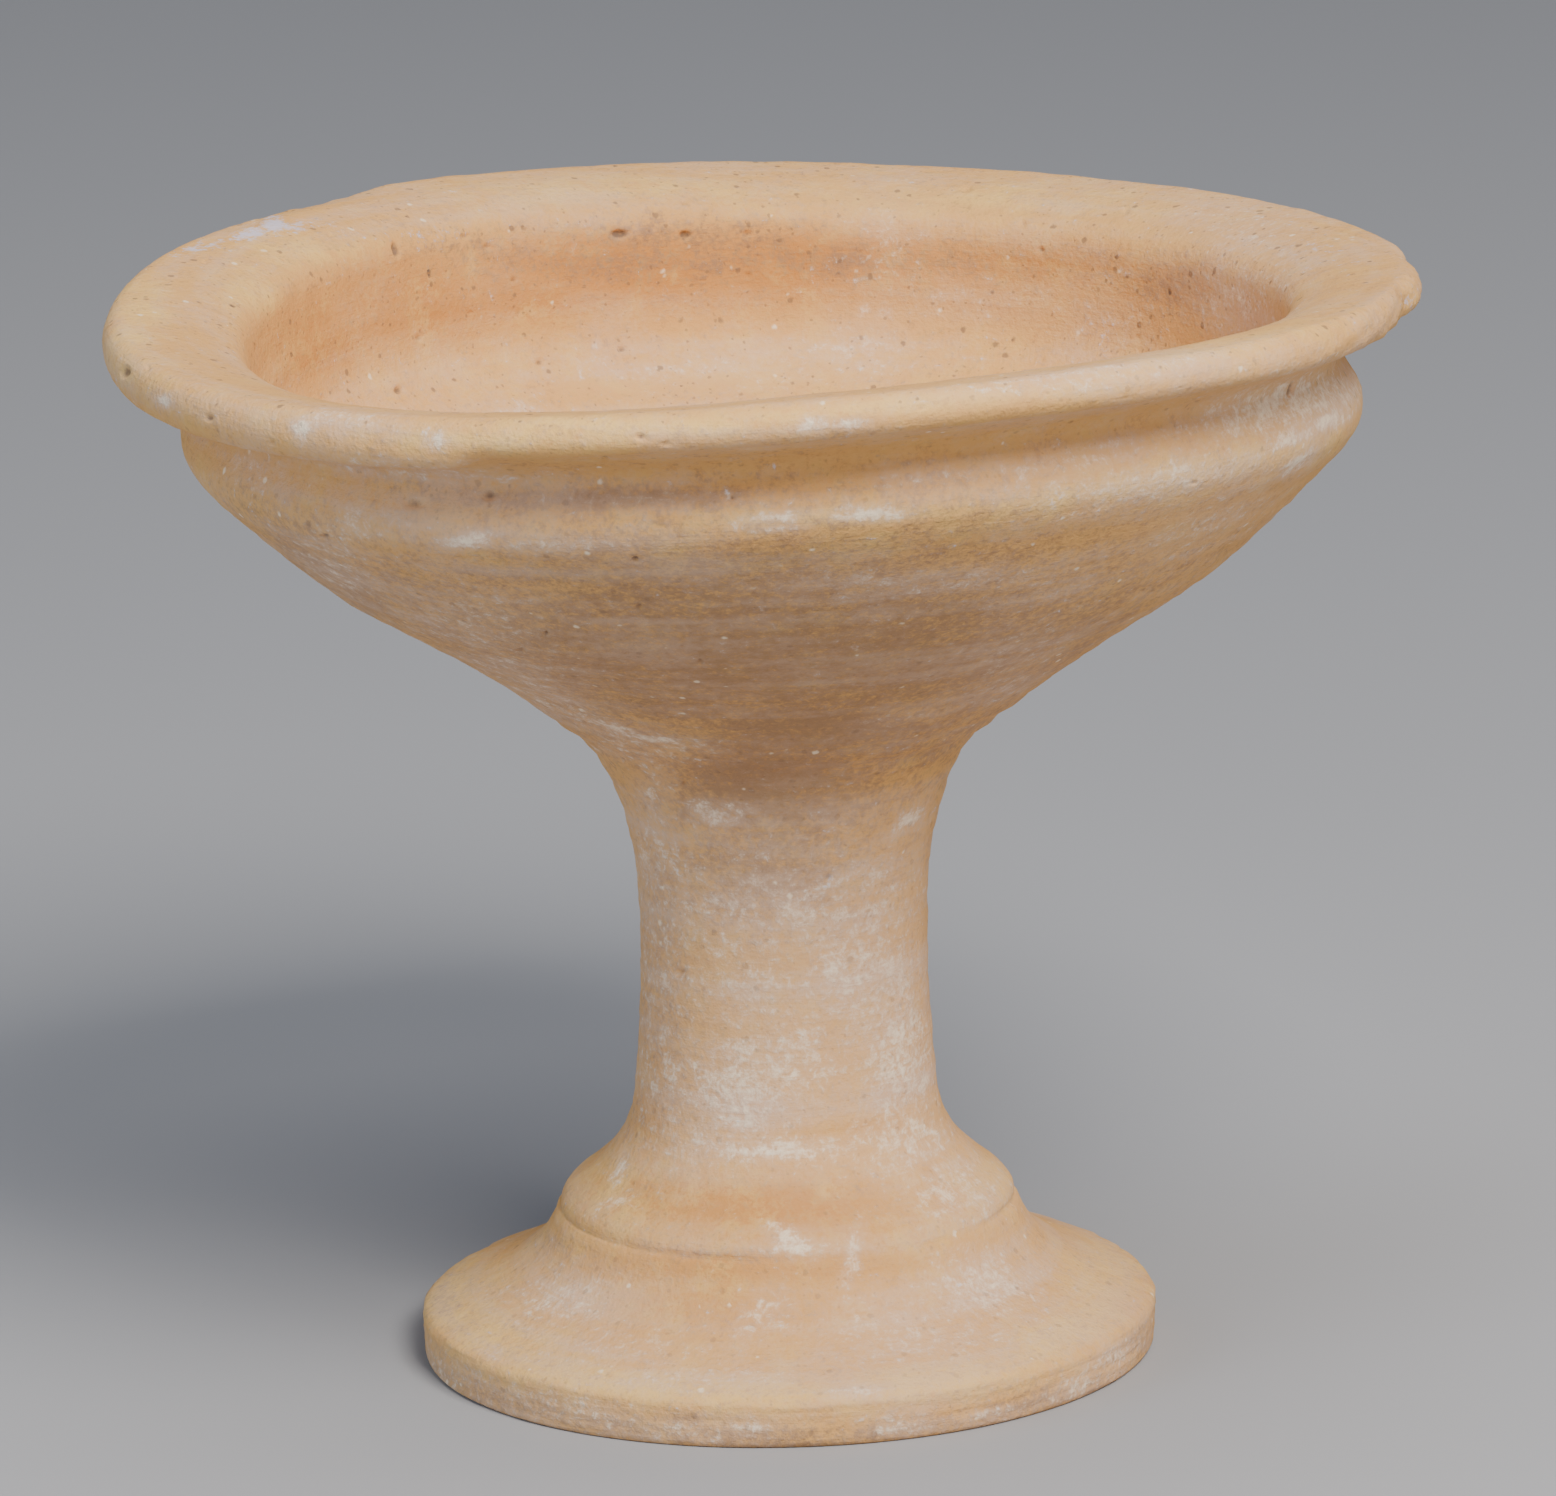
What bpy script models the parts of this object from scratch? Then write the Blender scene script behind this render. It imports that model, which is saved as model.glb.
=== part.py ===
"""Fired-clay chalice: a wide bowl with a stepped shoulder, on a waisted stem and a spreading foot.

The vessel is one turned body. Its outline runs from the middle of the bowl's floor up to the
rim, down the outside to the foot, and up the hollow underneath. The soft clay settled before it
was fired, so the turned body is then tipped, twisted and made slightly oval above the stem, and
old chips are broken out of the rim.

Metres, +Z up. The origin is in the middle of the foot, on the surface that the chalice stands on.
"""
import math

import bmesh
import bpy
from mathutils import Vector

# Foot
FOOT_RADIUS = 0.0466
FOOT_EDGE_HEIGHT = 0.0068
FOOT_EDGE_ROUND = 0.0015
FOOT_LOWER_INSET = 0.0009
FOOT_LOWER_RISE = 0.0006
FOOT_RING_WIDTH = 0.0085
FOOT_WALL = 0.0080
SLOPE_RISE = 0.0122
STEP_RADIUS = 0.0292
STEP_HEIGHT = 0.0030
STEP_GROOVE = 0.0005
DOME_INSET = 0.0022
DOME_RISE = 0.0122

# Stem: its waist, and how much wider it is at its foot, below the flare and at the bowl
STEM_WAIST_RADIUS = 0.0181
STEM_FOOT_SPREAD = 0.0010
STEM_NECK_SPREAD = 0.0018
STEM_TOP_SPREAD = 0.0071
STEM_LOWER_LENGTH = 0.0218
STEM_UPPER_LENGTH = 0.0142
STEM_FLARE_LENGTH = 0.0106
STEM_WALL = 0.0080
PLUG_THICKNESS = 0.0200

# Bowl
SHOULDER_RADIUS = 0.0754
SHOULDER_ROUND = 0.0050
CONE_UPPER_RUN = 0.0194
CONE_UPPER_RISE = 0.0204
CONE_LOWER_RISE = 0.0212
NECK_DEPTH = 0.0019
NECK_RISE = 0.0052
NECK_WALL = 0.0067
BOWL_WALL = 0.0065
BOWL_FLOOR_RISE = 0.0042

# Rim
LIP_OVERHANG = 0.0114
LIP_THICKNESS = 0.0050
LIP_FALL = 0.0029
LIP_ROOT_RISE = 0.0050
LIP_ROUND = 0.0024
LIP_EDGE_DROP = 0.00275
MOUTH_DRAFT = 0.0010

# How the clay settled, measured at the rim: heights and shifts in metres, swellings as shares
# of the radius, and the bearing of each, in degrees from +X towards +Y
BOWL_TILT = 0.0302
BOWL_TILT_BEARING = -104.0
RIM_TWIST = 0.0023
RIM_TWIST_BEARING = -51.5
RIM_WAVE = 0.0005
RIM_WAVE_BEARING = 42.7
BOWL_OVAL = 0.0396
BOWL_OVAL_BEARING = 65.4
BOWL_LOBES = 0.0141
BOWL_LOBES_BEARING = -45.0
BOWL_SHIFT = 0.0006
STEM_LEAN = 0.0107
TILT_SPREAD = 0.0100

# A knock in the soft rim, and the stretch where the lip hangs thicker: how far each moved the
# clay, its bearing and how far it spreads to either side, in degrees
KNOCK_INWARD = 0.0014
KNOCK_LIFT = 0.0013
KNOCK_BEARING = 12.0
KNOCK_SPREAD = 72.0
LIP_SAG = 0.0014
LIP_SAG_BEARING = -150.0
LIP_SAG_SPREAD = 72.0

# Chips broken from the rim: bearing, length along the rim, depth into it, and how far the
# middle of the break lies above the lip's underside, as a share of the lip's thickness
RIM_CHIPS = (
    (-19.0, 0.0300, 0.0021, 0.5),
    (9.0, 0.0070, 0.0009, 0.6),
    (142.0, 0.0230, 0.0009, 1.0),
)
# The lump that breaks a chip out: its reach and height as shares of the lip's thickness, its
# half length as a share of the chip's length, how uneven it is, and by how many radians the
# unevenness turns from one corner to the next
CHIP_REACH = 1.6
CHIP_HEIGHT = 2.2
CHIP_HALF_LENGTH = 0.62
CHIP_UNEVENNESS = 0.07
CHIP_UNEVEN_TURN = 2.4

TURN_STEPS = 72
CURVE_REACH = 0.38
SHARP_ANGLE = math.radians(38)
CLAY_COLOUR = (0.66, 0.44, 0.26, 1.0)
CLAY_ROUGHNESS = 0.9

# Radii and levels that follow from the sizes
STEM_FOOT_RADIUS = STEM_WAIST_RADIUS + STEM_FOOT_SPREAD
STEM_NECK_RADIUS = STEM_WAIST_RADIUS + STEM_NECK_SPREAD
STEM_TOP_RADIUS = STEM_WAIST_RADIUS + STEM_TOP_SPREAD
CONE_BEND_RADIUS = SHOULDER_RADIUS - CONE_UPPER_RUN
NECK_RADIUS = SHOULDER_RADIUS - NECK_DEPTH
MOUTH_RADIUS = NECK_RADIUS - NECK_WALL
RIM_RADIUS = NECK_RADIUS + LIP_OVERHANG
EDGE_LEVEL = FOOT_EDGE_HEIGHT
STEP_LEVEL = EDGE_LEVEL + SLOPE_RISE
DOME_LEVEL = STEP_LEVEL + STEP_HEIGHT
STEM_LEVEL = DOME_LEVEL + DOME_RISE
WAIST_LEVEL = STEM_LEVEL + STEM_LOWER_LENGTH
STEM_NECK_LEVEL = WAIST_LEVEL + STEM_UPPER_LENGTH
JOINT_LEVEL = STEM_NECK_LEVEL + STEM_FLARE_LENGTH
BEND_LEVEL = JOINT_LEVEL + CONE_LOWER_RISE
SHOULDER_LEVEL = BEND_LEVEL + CONE_UPPER_RISE
NECK_LEVEL = SHOULDER_LEVEL + NECK_RISE
LIP_LEVEL = NECK_LEVEL + LIP_ROOT_RISE
RIM_LEVEL = LIP_LEVEL + LIP_THICKNESS
FLOOR_LEVEL = JOINT_LEVEL + BOWL_FLOOR_RISE
HOLLOW_LEVEL = FLOOR_LEVEL - PLUG_THICKNESS


def clear_scene():
    """Remove every object that the scene holds."""
    for item in list(bpy.data.objects):
        bpy.data.objects.remove(item, do_unlink=True)


def heading(degrees):
    """Unit direction in the outline's plane: 0 is outward, 90 is up."""
    angle = math.radians(degrees)
    return Vector((math.cos(angle), math.sin(angle)))


def bend(start, leave, end, arrive, steps):
    """Points after start up to end, on a curve that leaves and arrives on the given headings."""
    start = Vector(start)
    end = Vector(end)
    reach = (end - start).length * CURVE_REACH
    first = start + heading(leave) * reach
    second = end - heading(arrive) * reach
    points = []
    for step in range(1, steps + 1):
        t = step / steps
        s = 1.0 - t
        points.append(start * s**3 + first * (3 * s * s * t) + second * (3 * s * t * t) + end * t**3)
    return points


def follow(start, stretches):
    """Join stretches of (end, heading on leaving, heading on arriving, steps) into one outline."""
    points = [Vector(start)]
    for end, leave, arrive, steps in stretches:
        points += bend(points[-1], leave, end, arrive, steps)
    return points


def cone_slopes():
    """Slopes of the bowl's lower and upper cone, in degrees."""
    lower = math.degrees(math.atan2(CONE_LOWER_RISE, CONE_BEND_RADIUS - STEM_TOP_RADIUS))
    upper = math.degrees(math.atan2(CONE_UPPER_RISE, CONE_UPPER_RUN))
    return lower, upper


def inside_of_bowl():
    """Outline of the bowl's inside, from the middle of its floor to the lip's inner edge."""
    lower, upper = cone_slopes()
    inward = heading((lower + upper) / 2 + 90) * BOWL_WALL
    inner_bend = Vector((CONE_BEND_RADIUS, BEND_LEVEL)) + inward
    wall_foot = (MOUTH_RADIUS - MOUTH_DRAFT, SHOULDER_LEVEL - MOUTH_DRAFT)
    wall_top = (MOUTH_RADIUS, LIP_LEVEL - MOUTH_DRAFT * 2)
    return follow((0.0, FLOOR_LEVEL), [
        (inner_bend, 0, lower, 5),
        (wall_foot, upper, 80, 3),
        (wall_top, 90, 86, 1),
    ])


def lip(start):
    """Outline over the lip, from its inner edge to the groove of the neck."""
    crown = (RIM_RADIUS - LIP_ROUND, RIM_LEVEL)
    edge = (RIM_RADIUS, RIM_LEVEL - LIP_EDGE_DROP)
    under = (RIM_RADIUS - LIP_ROUND, LIP_LEVEL)
    root = (NECK_RADIUS + LIP_ROUND, LIP_LEVEL - LIP_ROUND)
    return follow(start, [
        ((MOUTH_RADIUS + LIP_ROUND, RIM_LEVEL - LIP_FALL), 80, 22, 2),
        (crown, 6, 14, 3),
        (edge, -10, -92, 2),
        (under, -92, -178, 2),
        (root, -172, -158, 2),
        ((NECK_RADIUS, NECK_LEVEL), -150, -94, 2),
    ])[1:]


def outside_of_bowl(start):
    """Outline from the neck over the shoulder and down the cone to the top of the stem."""
    lower, upper = cone_slopes()
    below_shoulder = (SHOULDER_RADIUS - SHOULDER_ROUND / 2, SHOULDER_LEVEL - SHOULDER_ROUND)
    return follow(start, [
        ((SHOULDER_RADIUS, SHOULDER_LEVEL), -86, -90, 3),
        (below_shoulder, -92, upper - 180, 2),
        ((CONE_BEND_RADIUS, BEND_LEVEL), upper - 182, lower - 176, 2),
        ((STEM_TOP_RADIUS, JOINT_LEVEL), lower - 182, lower - 176, 3),
    ])[1:]


def stem_and_foot(start):
    """Outline down the stem, over the foot's dome, step and slope, to its upright edge."""
    step_top = (STEP_RADIUS - STEP_GROOVE, STEP_LEVEL + STEP_GROOVE)
    groove = (STEP_RADIUS - STEP_GROOVE * 2, STEP_LEVEL)
    slope_top = (STEP_RADIUS, STEP_LEVEL - STEP_GROOVE)
    return follow(start, [
        ((STEM_NECK_RADIUS, STEM_NECK_LEVEL), -131, -106, 3),
        ((STEM_WAIST_RADIUS, WAIST_LEVEL), -104, -90, 2),
        ((STEM_FOOT_RADIUS, STEM_LEVEL), -90, -85, 2),
        ((STEP_RADIUS - DOME_INSET, DOME_LEVEL), -86, -37, 4),
        (step_top, -42, -86, 2),
        (groove, -150, -150, 1),
        (slope_top, -30, -30, 1),
        ((FOOT_RADIUS - FOOT_EDGE_ROUND, EDGE_LEVEL), -72, -25, 4),
        ((FOOT_RADIUS, EDGE_LEVEL - FOOT_EDGE_ROUND), -28, -90, 2),
    ])[1:]


def underside(start):
    """Outline round the foot's lower edge, along the flat ring and up the hollow to the axis."""
    ring_outer = (FOOT_RADIUS - FOOT_LOWER_INSET, 0.0)
    ring_inner = (FOOT_RADIUS - FOOT_RING_WIDTH, 0.0)
    under_dome = (STEP_RADIUS - FOOT_WALL, STEP_LEVEL - FOOT_WALL)
    return follow(start, [
        ((FOOT_RADIUS - FOOT_LOWER_INSET / 4, FOOT_LOWER_RISE), -92, -94, 1),
        (ring_outer, -110, -170, 1),
        (ring_inner, 180, 180, 1),
        (under_dome, 150, 135, 2),
        ((STEM_FOOT_RADIUS - STEM_WALL, STEM_LEVEL), 130, 95, 2),
        ((STEM_WAIST_RADIUS - STEM_WALL, WAIST_LEVEL), 93, 92, 1),
        ((0.0, HOLLOW_LEVEL), 92, 180, 2),
    ])[1:]


def outline():
    """The whole outline as (radius, level) points, from the bowl's floor to the hollow's top."""
    points = inside_of_bowl()
    for stretch in (lip, outside_of_bowl, stem_and_foot, underside):
        points += stretch(points[-1])
    return points


def ease(value, low, high):
    """Share of the way from low to high, eased at both ends and held beyond them."""
    share = min(max((value - low) / (high - low), 0.0), 1.0)
    return share * share * (3.0 - 2.0 * share)


def lobes(angle, bearing, count):
    """Height of a wave with count crests round the rim, one of them at the bearing."""
    return math.cos(count * (angle - math.radians(bearing)))


def stretch_of_rim(angle, bearing, spread):
    """Share of an effect that is whole at the bearing and fades out over the spread."""
    away = math.remainder(angle - math.radians(bearing), 2 * math.pi)
    return math.cos(min(abs(away) / math.radians(spread), 1.0) * math.pi / 2) ** 2


def settle(point):
    """Where the settling of the clay leaves a point of the turned body."""
    radius = math.hypot(point.x, point.y)
    angle = math.atan2(point.y, point.x)
    knock = stretch_of_rim(angle, KNOCK_BEARING, KNOCK_SPREAD) * ease(point.z, SHOULDER_LEVEL, LIP_LEVEL)
    under_lip = ease(point.z, NECK_LEVEL, LIP_LEVEL) - ease(point.z, LIP_LEVEL, RIM_LEVEL)
    under_lip *= ease(radius, NECK_RADIUS, RIM_RADIUS - LIP_ROUND)
    sag = stretch_of_rim(angle, LIP_SAG_BEARING, LIP_SAG_SPREAD) * under_lip
    bowl = ease(point.z, JOINT_LEVEL, NECK_LEVEL)
    tipped = min(max((point.z - JOINT_LEVEL) / TILT_SPREAD, 0.0), 1.0)
    swelling = BOWL_OVAL * lobes(angle, BOWL_OVAL_BEARING, 2)
    swelling += BOWL_LOBES * lobes(angle, BOWL_LOBES_BEARING, 3)
    radius *= 1.0 + bowl * swelling
    radius -= KNOCK_INWARD * knock
    lift = RIM_TWIST * lobes(angle, RIM_TWIST_BEARING, 2)
    lift += RIM_WAVE * lobes(angle, RIM_WAVE_BEARING, 3)
    tilt = BOWL_TILT * radius * lobes(angle, BOWL_TILT_BEARING, 1)
    return Vector((
        radius * math.cos(angle) + bowl * BOWL_SHIFT + STEM_LEAN * point.z,
        radius * math.sin(angle),
        point.z + bowl * lift + tipped * tilt + KNOCK_LIFT * knock - LIP_SAG * sag,
    ))


def clay():
    """Pale buff fired clay, unglazed."""
    material = bpy.data.materials.new("buff_clay")
    material.use_nodes = True
    shader = material.node_tree.nodes["Principled BSDF"]
    shader.inputs["Base Color"].default_value = CLAY_COLOUR
    shader.inputs["Roughness"].default_value = CLAY_ROUGHNESS
    shader.inputs["Metallic"].default_value = 0.0
    return material


def add_object(name, mesh):
    """Put a mesh into the scene under the given name."""
    item = bpy.data.objects.new(name, mesh)
    bpy.context.scene.collection.objects.link(item)
    return item


def turned_body():
    """The outline spun round the axis, then settled."""
    shape = bmesh.new()
    corners = [shape.verts.new((point.x, 0.0, point.y)) for point in outline()]
    edges = [shape.edges.new(pair) for pair in zip(corners, corners[1:])]
    bmesh.ops.spin(
        shape, geom=corners + edges, cent=(0, 0, 0), axis=(0, 0, 1),
        angle=2 * math.pi, steps=TURN_STEPS, use_merge=True,
    )
    bmesh.ops.remove_doubles(shape, verts=shape.verts, dist=0.000002)
    bmesh.ops.recalc_face_normals(shape, faces=shape.faces)
    for corner in shape.verts:
        corner.co = settle(corner.co)
    mesh = bpy.data.meshes.new("chalice")
    shape.to_mesh(mesh)
    shape.free()
    return mesh


def chip_cutter(index, bearing, length, depth, height_share):
    """A blunt faceted lump that bites the given depth out of the rim's edge."""
    shape = bmesh.new()
    bmesh.ops.create_icosphere(shape, subdivisions=2, radius=1.0)
    reach = LIP_THICKNESS * CHIP_REACH
    angle = math.radians(bearing)
    for number, corner in enumerate(shape.verts):
        roughness = 1.0 + CHIP_UNEVENNESS * math.sin(number * CHIP_UNEVEN_TURN + index)
        outward = corner.co.x * reach * roughness + reach - depth
        along = corner.co.y * length * CHIP_HALF_LENGTH * roughness
        up = corner.co.z * LIP_THICKNESS * CHIP_HEIGHT * roughness
        radius = RIM_RADIUS + outward
        turn = angle + along / RIM_RADIUS
        level = LIP_LEVEL + LIP_THICKNESS * height_share + up
        corner.co = settle(Vector((radius * math.cos(turn), radius * math.sin(turn), level)))
    mesh = bpy.data.meshes.new(f"chip_{index}")
    shape.to_mesh(mesh)
    shape.free()
    cutter = add_object(f"chip_{index}", mesh)
    cutter.hide_render = True
    cutter.display_type = "WIRE"
    return cutter


def build_chalice():
    """The chalice, with the chips cut out of its rim."""
    mesh = turned_body()
    mesh.shade_smooth()
    mesh.set_sharp_from_angle(angle=SHARP_ANGLE)
    mesh.materials.append(clay())
    chalice = add_object("chalice", mesh)
    for index, chip in enumerate(RIM_CHIPS):
        cut = chalice.modifiers.new(f"chip_{index}", "BOOLEAN")
        cut.operation = "DIFFERENCE"
        cut.solver = "EXACT"
        cut.object = chip_cutter(index, *chip)
    return chalice


clear_scene()
build_chalice()
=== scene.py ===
"""Looks of a fired-clay chalice: its turned and weathered body, its clay finish and a plain studio.

Metres, +Z up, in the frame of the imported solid. The vessel is one turned piece, so one mesh
replaces the one solid. It is drawn as an outline, spun, settled as the soft clay did, and then
worn: chipped at the rim, pitted where grit fell out, and streaked with a chalky film of lime.
"""
import logging
import math
import random
from dataclasses import dataclass
from enum import Enum
from typing import Any, NamedTuple, Sequence, Union

import bpy
import numpy as np
from mathutils import Matrix, Vector
from mathutils.bvhtree import BVHTree

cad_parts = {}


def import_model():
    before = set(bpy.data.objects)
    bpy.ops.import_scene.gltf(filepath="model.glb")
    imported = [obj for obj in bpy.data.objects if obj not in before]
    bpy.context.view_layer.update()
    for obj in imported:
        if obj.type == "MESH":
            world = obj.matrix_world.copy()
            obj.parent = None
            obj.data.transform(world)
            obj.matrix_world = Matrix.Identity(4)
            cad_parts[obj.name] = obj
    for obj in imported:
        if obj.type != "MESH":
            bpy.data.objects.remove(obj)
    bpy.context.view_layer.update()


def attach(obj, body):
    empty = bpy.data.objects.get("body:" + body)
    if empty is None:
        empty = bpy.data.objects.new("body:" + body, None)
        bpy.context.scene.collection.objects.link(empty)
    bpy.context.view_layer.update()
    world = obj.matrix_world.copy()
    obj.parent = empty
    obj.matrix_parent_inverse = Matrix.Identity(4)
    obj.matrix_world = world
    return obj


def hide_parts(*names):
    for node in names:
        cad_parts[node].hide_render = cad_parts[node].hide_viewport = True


LOG = logging.getLogger("chalice")
PHOTO_WIDTH = 1556
PHOTO_HEIGHT = 1496
MM = 0.001

Colour = tuple[float, float, float, float]


def from_screen(red: int, green: int, blue: int) -> Colour:
    """Linear colour of a screen colour given from 0 to 255.

    Args:
        red: red share.
        green: green share.
        blue: blue share.

    Returns:
        Linear red, green, blue and a full alpha.
    """
    shares = [value / 255 for value in (red, green, blue)]
    linear = [s / 12.92 if s <= 0.04045 else ((s + 0.055) / 1.055) ** 2.4 for s in shares]
    return (linear[0], linear[1], linear[2], 1.0)


def ease(value: np.ndarray, low: float, high: float) -> np.ndarray:
    """Share of the way from low to high, from 0 to 1, eased at both ends and held beyond them."""
    share = np.clip((value - low) / (high - low), 0.0, 1.0)
    return share * share * (3.0 - 2.0 * share)


def polar(points: np.ndarray) -> tuple[np.ndarray, np.ndarray, np.ndarray]:
    """Radius, angle in radians and level of points that stand one a row."""
    x, y, level = points.T
    return np.hypot(x, y), np.arctan2(y, x), level


def heading(degrees: float) -> Vector:
    """Unit direction in the outline's plane: 0 is outward, 90 is up."""
    return Vector((math.cos(math.radians(degrees)), math.sin(math.radians(degrees))))


def nothing_selected() -> None:
    """Leave edit mode and deselect every object."""
    if bpy.context.object and bpy.context.object.mode != "OBJECT":
        bpy.ops.object.mode_set(mode="OBJECT")
    bpy.ops.object.select_all(action="DESELECT")


class Stretch(NamedTuple):
    """One stretch of the turned outline.

    Fields: where it ends (radius, level), the headings in degrees on leaving and on arriving,
    and the distance between the rings along it.
    """

    end: tuple[float, float]
    leave: float
    arrive: float
    gap: float


@dataclass(frozen=True)
class Form:
    """Sizes of the turned body before it settled, and the outline that they give."""

    foot_radius: float = 0.0466
    foot_edge_height: float = 0.0068
    foot_edge_round: float = 0.0015
    foot_lower_inset: float = 0.0009
    foot_lower_rise: float = 0.0006
    foot_ring_width: float = 0.0085
    foot_wall: float = 0.0080
    slope_rise: float = 0.0122
    step_radius: float = 0.0292
    step_height: float = 0.0030
    step_groove: float = 0.0005
    crease_share: float = 1.4
    dome_inset: float = 0.0022
    dome_rise: float = 0.0122
    stem_waist_radius: float = 0.0181
    stem_foot_spread: float = 0.0010
    stem_neck_spread: float = 0.0018
    stem_top_spread: float = 0.0071
    stem_lower_length: float = 0.0218
    stem_upper_length: float = 0.0142
    stem_flare_length: float = 0.0106
    stem_wall: float = 0.0080
    plug_thickness: float = 0.0200
    shoulder_radius: float = 0.0754
    shoulder_round: float = 0.0050
    cone_upper_run: float = 0.0194
    cone_upper_rise: float = 0.0204
    cone_lower_rise: float = 0.0212
    neck_depth: float = 0.0019
    neck_rise: float = 0.0052
    neck_wall: float = 0.0067
    bowl_wall: float = 0.0065
    bowl_floor_rise: float = 0.0042
    lip_overhang: float = 0.0114
    lip_thickness: float = 0.0050
    lip_fall: float = 0.0029
    lip_root_rise: float = 0.0050
    lip_round: float = 0.0024
    lip_edge_drop: float = 0.00275
    mouth_draft: float = 0.0010
    curve_reach: float = 0.38
    fine_gap: float = 0.00045
    wall_gap: float = 0.0011
    hidden_gap: float = 0.0022
    bend_share: float = 0.8
    tight_share: float = 0.7

    @property
    def cone_bend_radius(self) -> float:
        """Radius at which the bowl's two cones meet."""
        return self.shoulder_radius - self.cone_upper_run

    @property
    def neck_radius(self) -> float:
        """Radius of the groove under the lip."""
        return self.shoulder_radius - self.neck_depth

    @property
    def mouth_radius(self) -> float:
        """Radius of the bowl's mouth."""
        return self.neck_radius - self.neck_wall

    @property
    def rim_radius(self) -> float:
        """Outer radius of the lip."""
        return self.neck_radius + self.lip_overhang

    @property
    def stem_foot_radius(self) -> float:
        """Radius of the stem where it stands on the dome."""
        return self.stem_waist_radius + self.stem_foot_spread

    @property
    def step_level(self) -> float:
        """Height of the crease between the foot's slope and its dome."""
        return self.foot_edge_height + self.slope_rise

    @property
    def crease_radius(self) -> float:
        """Radius of the bottom of that crease."""
        return self.step_radius - self.crease_share * self.step_groove

    @property
    def dome_level(self) -> float:
        """Height of the dome's shoulder."""
        return self.step_level + self.step_height

    @property
    def stem_level(self) -> float:
        """Height of the stem's lower end."""
        return self.dome_level + self.dome_rise

    @property
    def waist_level(self) -> float:
        """Height of the stem's narrowest place."""
        return self.stem_level + self.stem_lower_length

    @property
    def stem_neck_level(self) -> float:
        """Height at which the stem starts to flare."""
        return self.waist_level + self.stem_upper_length

    @property
    def joint_level(self) -> float:
        """Height of the seam between stem and bowl."""
        return self.stem_neck_level + self.stem_flare_length

    @property
    def bend_level(self) -> float:
        """Height at which the bowl's two cones meet."""
        return self.joint_level + self.cone_lower_rise

    @property
    def shoulder_level(self) -> float:
        """Height of the bowl's shoulder."""
        return self.bend_level + self.cone_upper_rise

    @property
    def neck_level(self) -> float:
        """Height of the groove under the lip."""
        return self.shoulder_level + self.neck_rise

    @property
    def lip_level(self) -> float:
        """Height of the lip's underside."""
        return self.neck_level + self.lip_root_rise

    @property
    def rim_level(self) -> float:
        """Height of the lip's crown."""
        return self.lip_level + self.lip_thickness

    @property
    def floor_level(self) -> float:
        """Height of the bowl's floor at its middle."""
        return self.joint_level + self.bowl_floor_rise

    @property
    def stem_top_radius(self) -> float:
        """Radius of the seam between stem and bowl."""
        return self.stem_waist_radius + self.stem_top_spread

    def cone_slopes(self) -> tuple[float, float]:
        """Slopes of the bowl's cones.

        Returns:
            Slope of the lower cone and of the upper cone, in degrees.
        """
        run = self.cone_bend_radius - self.stem_top_radius
        lower = math.degrees(math.atan2(self.cone_lower_rise, run))
        upper = math.degrees(math.atan2(self.cone_upper_rise, self.cone_upper_run))
        return lower, upper

    def inside(self) -> list[Stretch]:
        """Outline of the bowl's inside, from the middle of its floor to the lip's inner edge.

        Returns:
            Stretches in order.
        """
        lower, upper = self.cone_slopes()
        inward = heading((lower + upper) / 2 + 90) * self.bowl_wall
        inner_bend = (self.cone_bend_radius + inward.x, self.bend_level + inward.y)
        foot = (self.mouth_radius - self.mouth_draft, self.shoulder_level - self.mouth_draft)
        top = (self.mouth_radius, self.lip_level - 2 * self.mouth_draft)
        return [
            Stretch(inner_bend, 0, lower, self.wall_gap),
            Stretch(foot, upper, 80, self.wall_gap),
            Stretch(top, 90, 86, self.wall_gap),
        ]

    def lip(self) -> list[Stretch]:
        """Outline over the lip, from its inner edge to the groove of the neck.

        Returns:
            Stretches in order.
        """
        inner = (self.mouth_radius + self.lip_round, self.rim_level - self.lip_fall)
        crown = (self.rim_radius - self.lip_round, self.rim_level)
        edge = (self.rim_radius, self.rim_level - self.lip_edge_drop)
        under = (self.rim_radius - self.lip_round, self.lip_level)
        root = (self.neck_radius + self.lip_round, self.lip_level - self.lip_round)
        neck = (self.neck_radius, self.neck_level)
        return [
            Stretch(inner, 84, 30, self.wall_gap * self.tight_share),
            Stretch(crown, 26, 4, self.wall_gap * self.bend_share),
            Stretch(edge, -10, -92, self.fine_gap),
            Stretch(under, -92, -178, self.fine_gap),
            Stretch(root, -172, -158, self.wall_gap * self.bend_share),
            Stretch(neck, -150, -94, self.wall_gap * self.bend_share),
        ]

    def outside(self) -> list[Stretch]:
        """Outline from the neck over the shoulder and down the cone to the top of the stem.

        Returns:
            Stretches in order.
        """
        lower, upper = self.cone_slopes()
        shoulder = (self.shoulder_radius, self.shoulder_level)
        below = (shoulder[0] - self.shoulder_round / 2, shoulder[1] - self.shoulder_round)
        bend = (self.cone_bend_radius, self.bend_level)
        joint = (self.stem_top_radius, self.joint_level)
        return [
            Stretch(shoulder, -86, -90, self.wall_gap * self.bend_share),
            Stretch(below, -92, upper - 180, self.wall_gap * self.tight_share),
            Stretch(bend, upper - 182, lower - 176, self.wall_gap),
            Stretch(joint, lower - 182, lower - 176, self.wall_gap),
        ]

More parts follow.
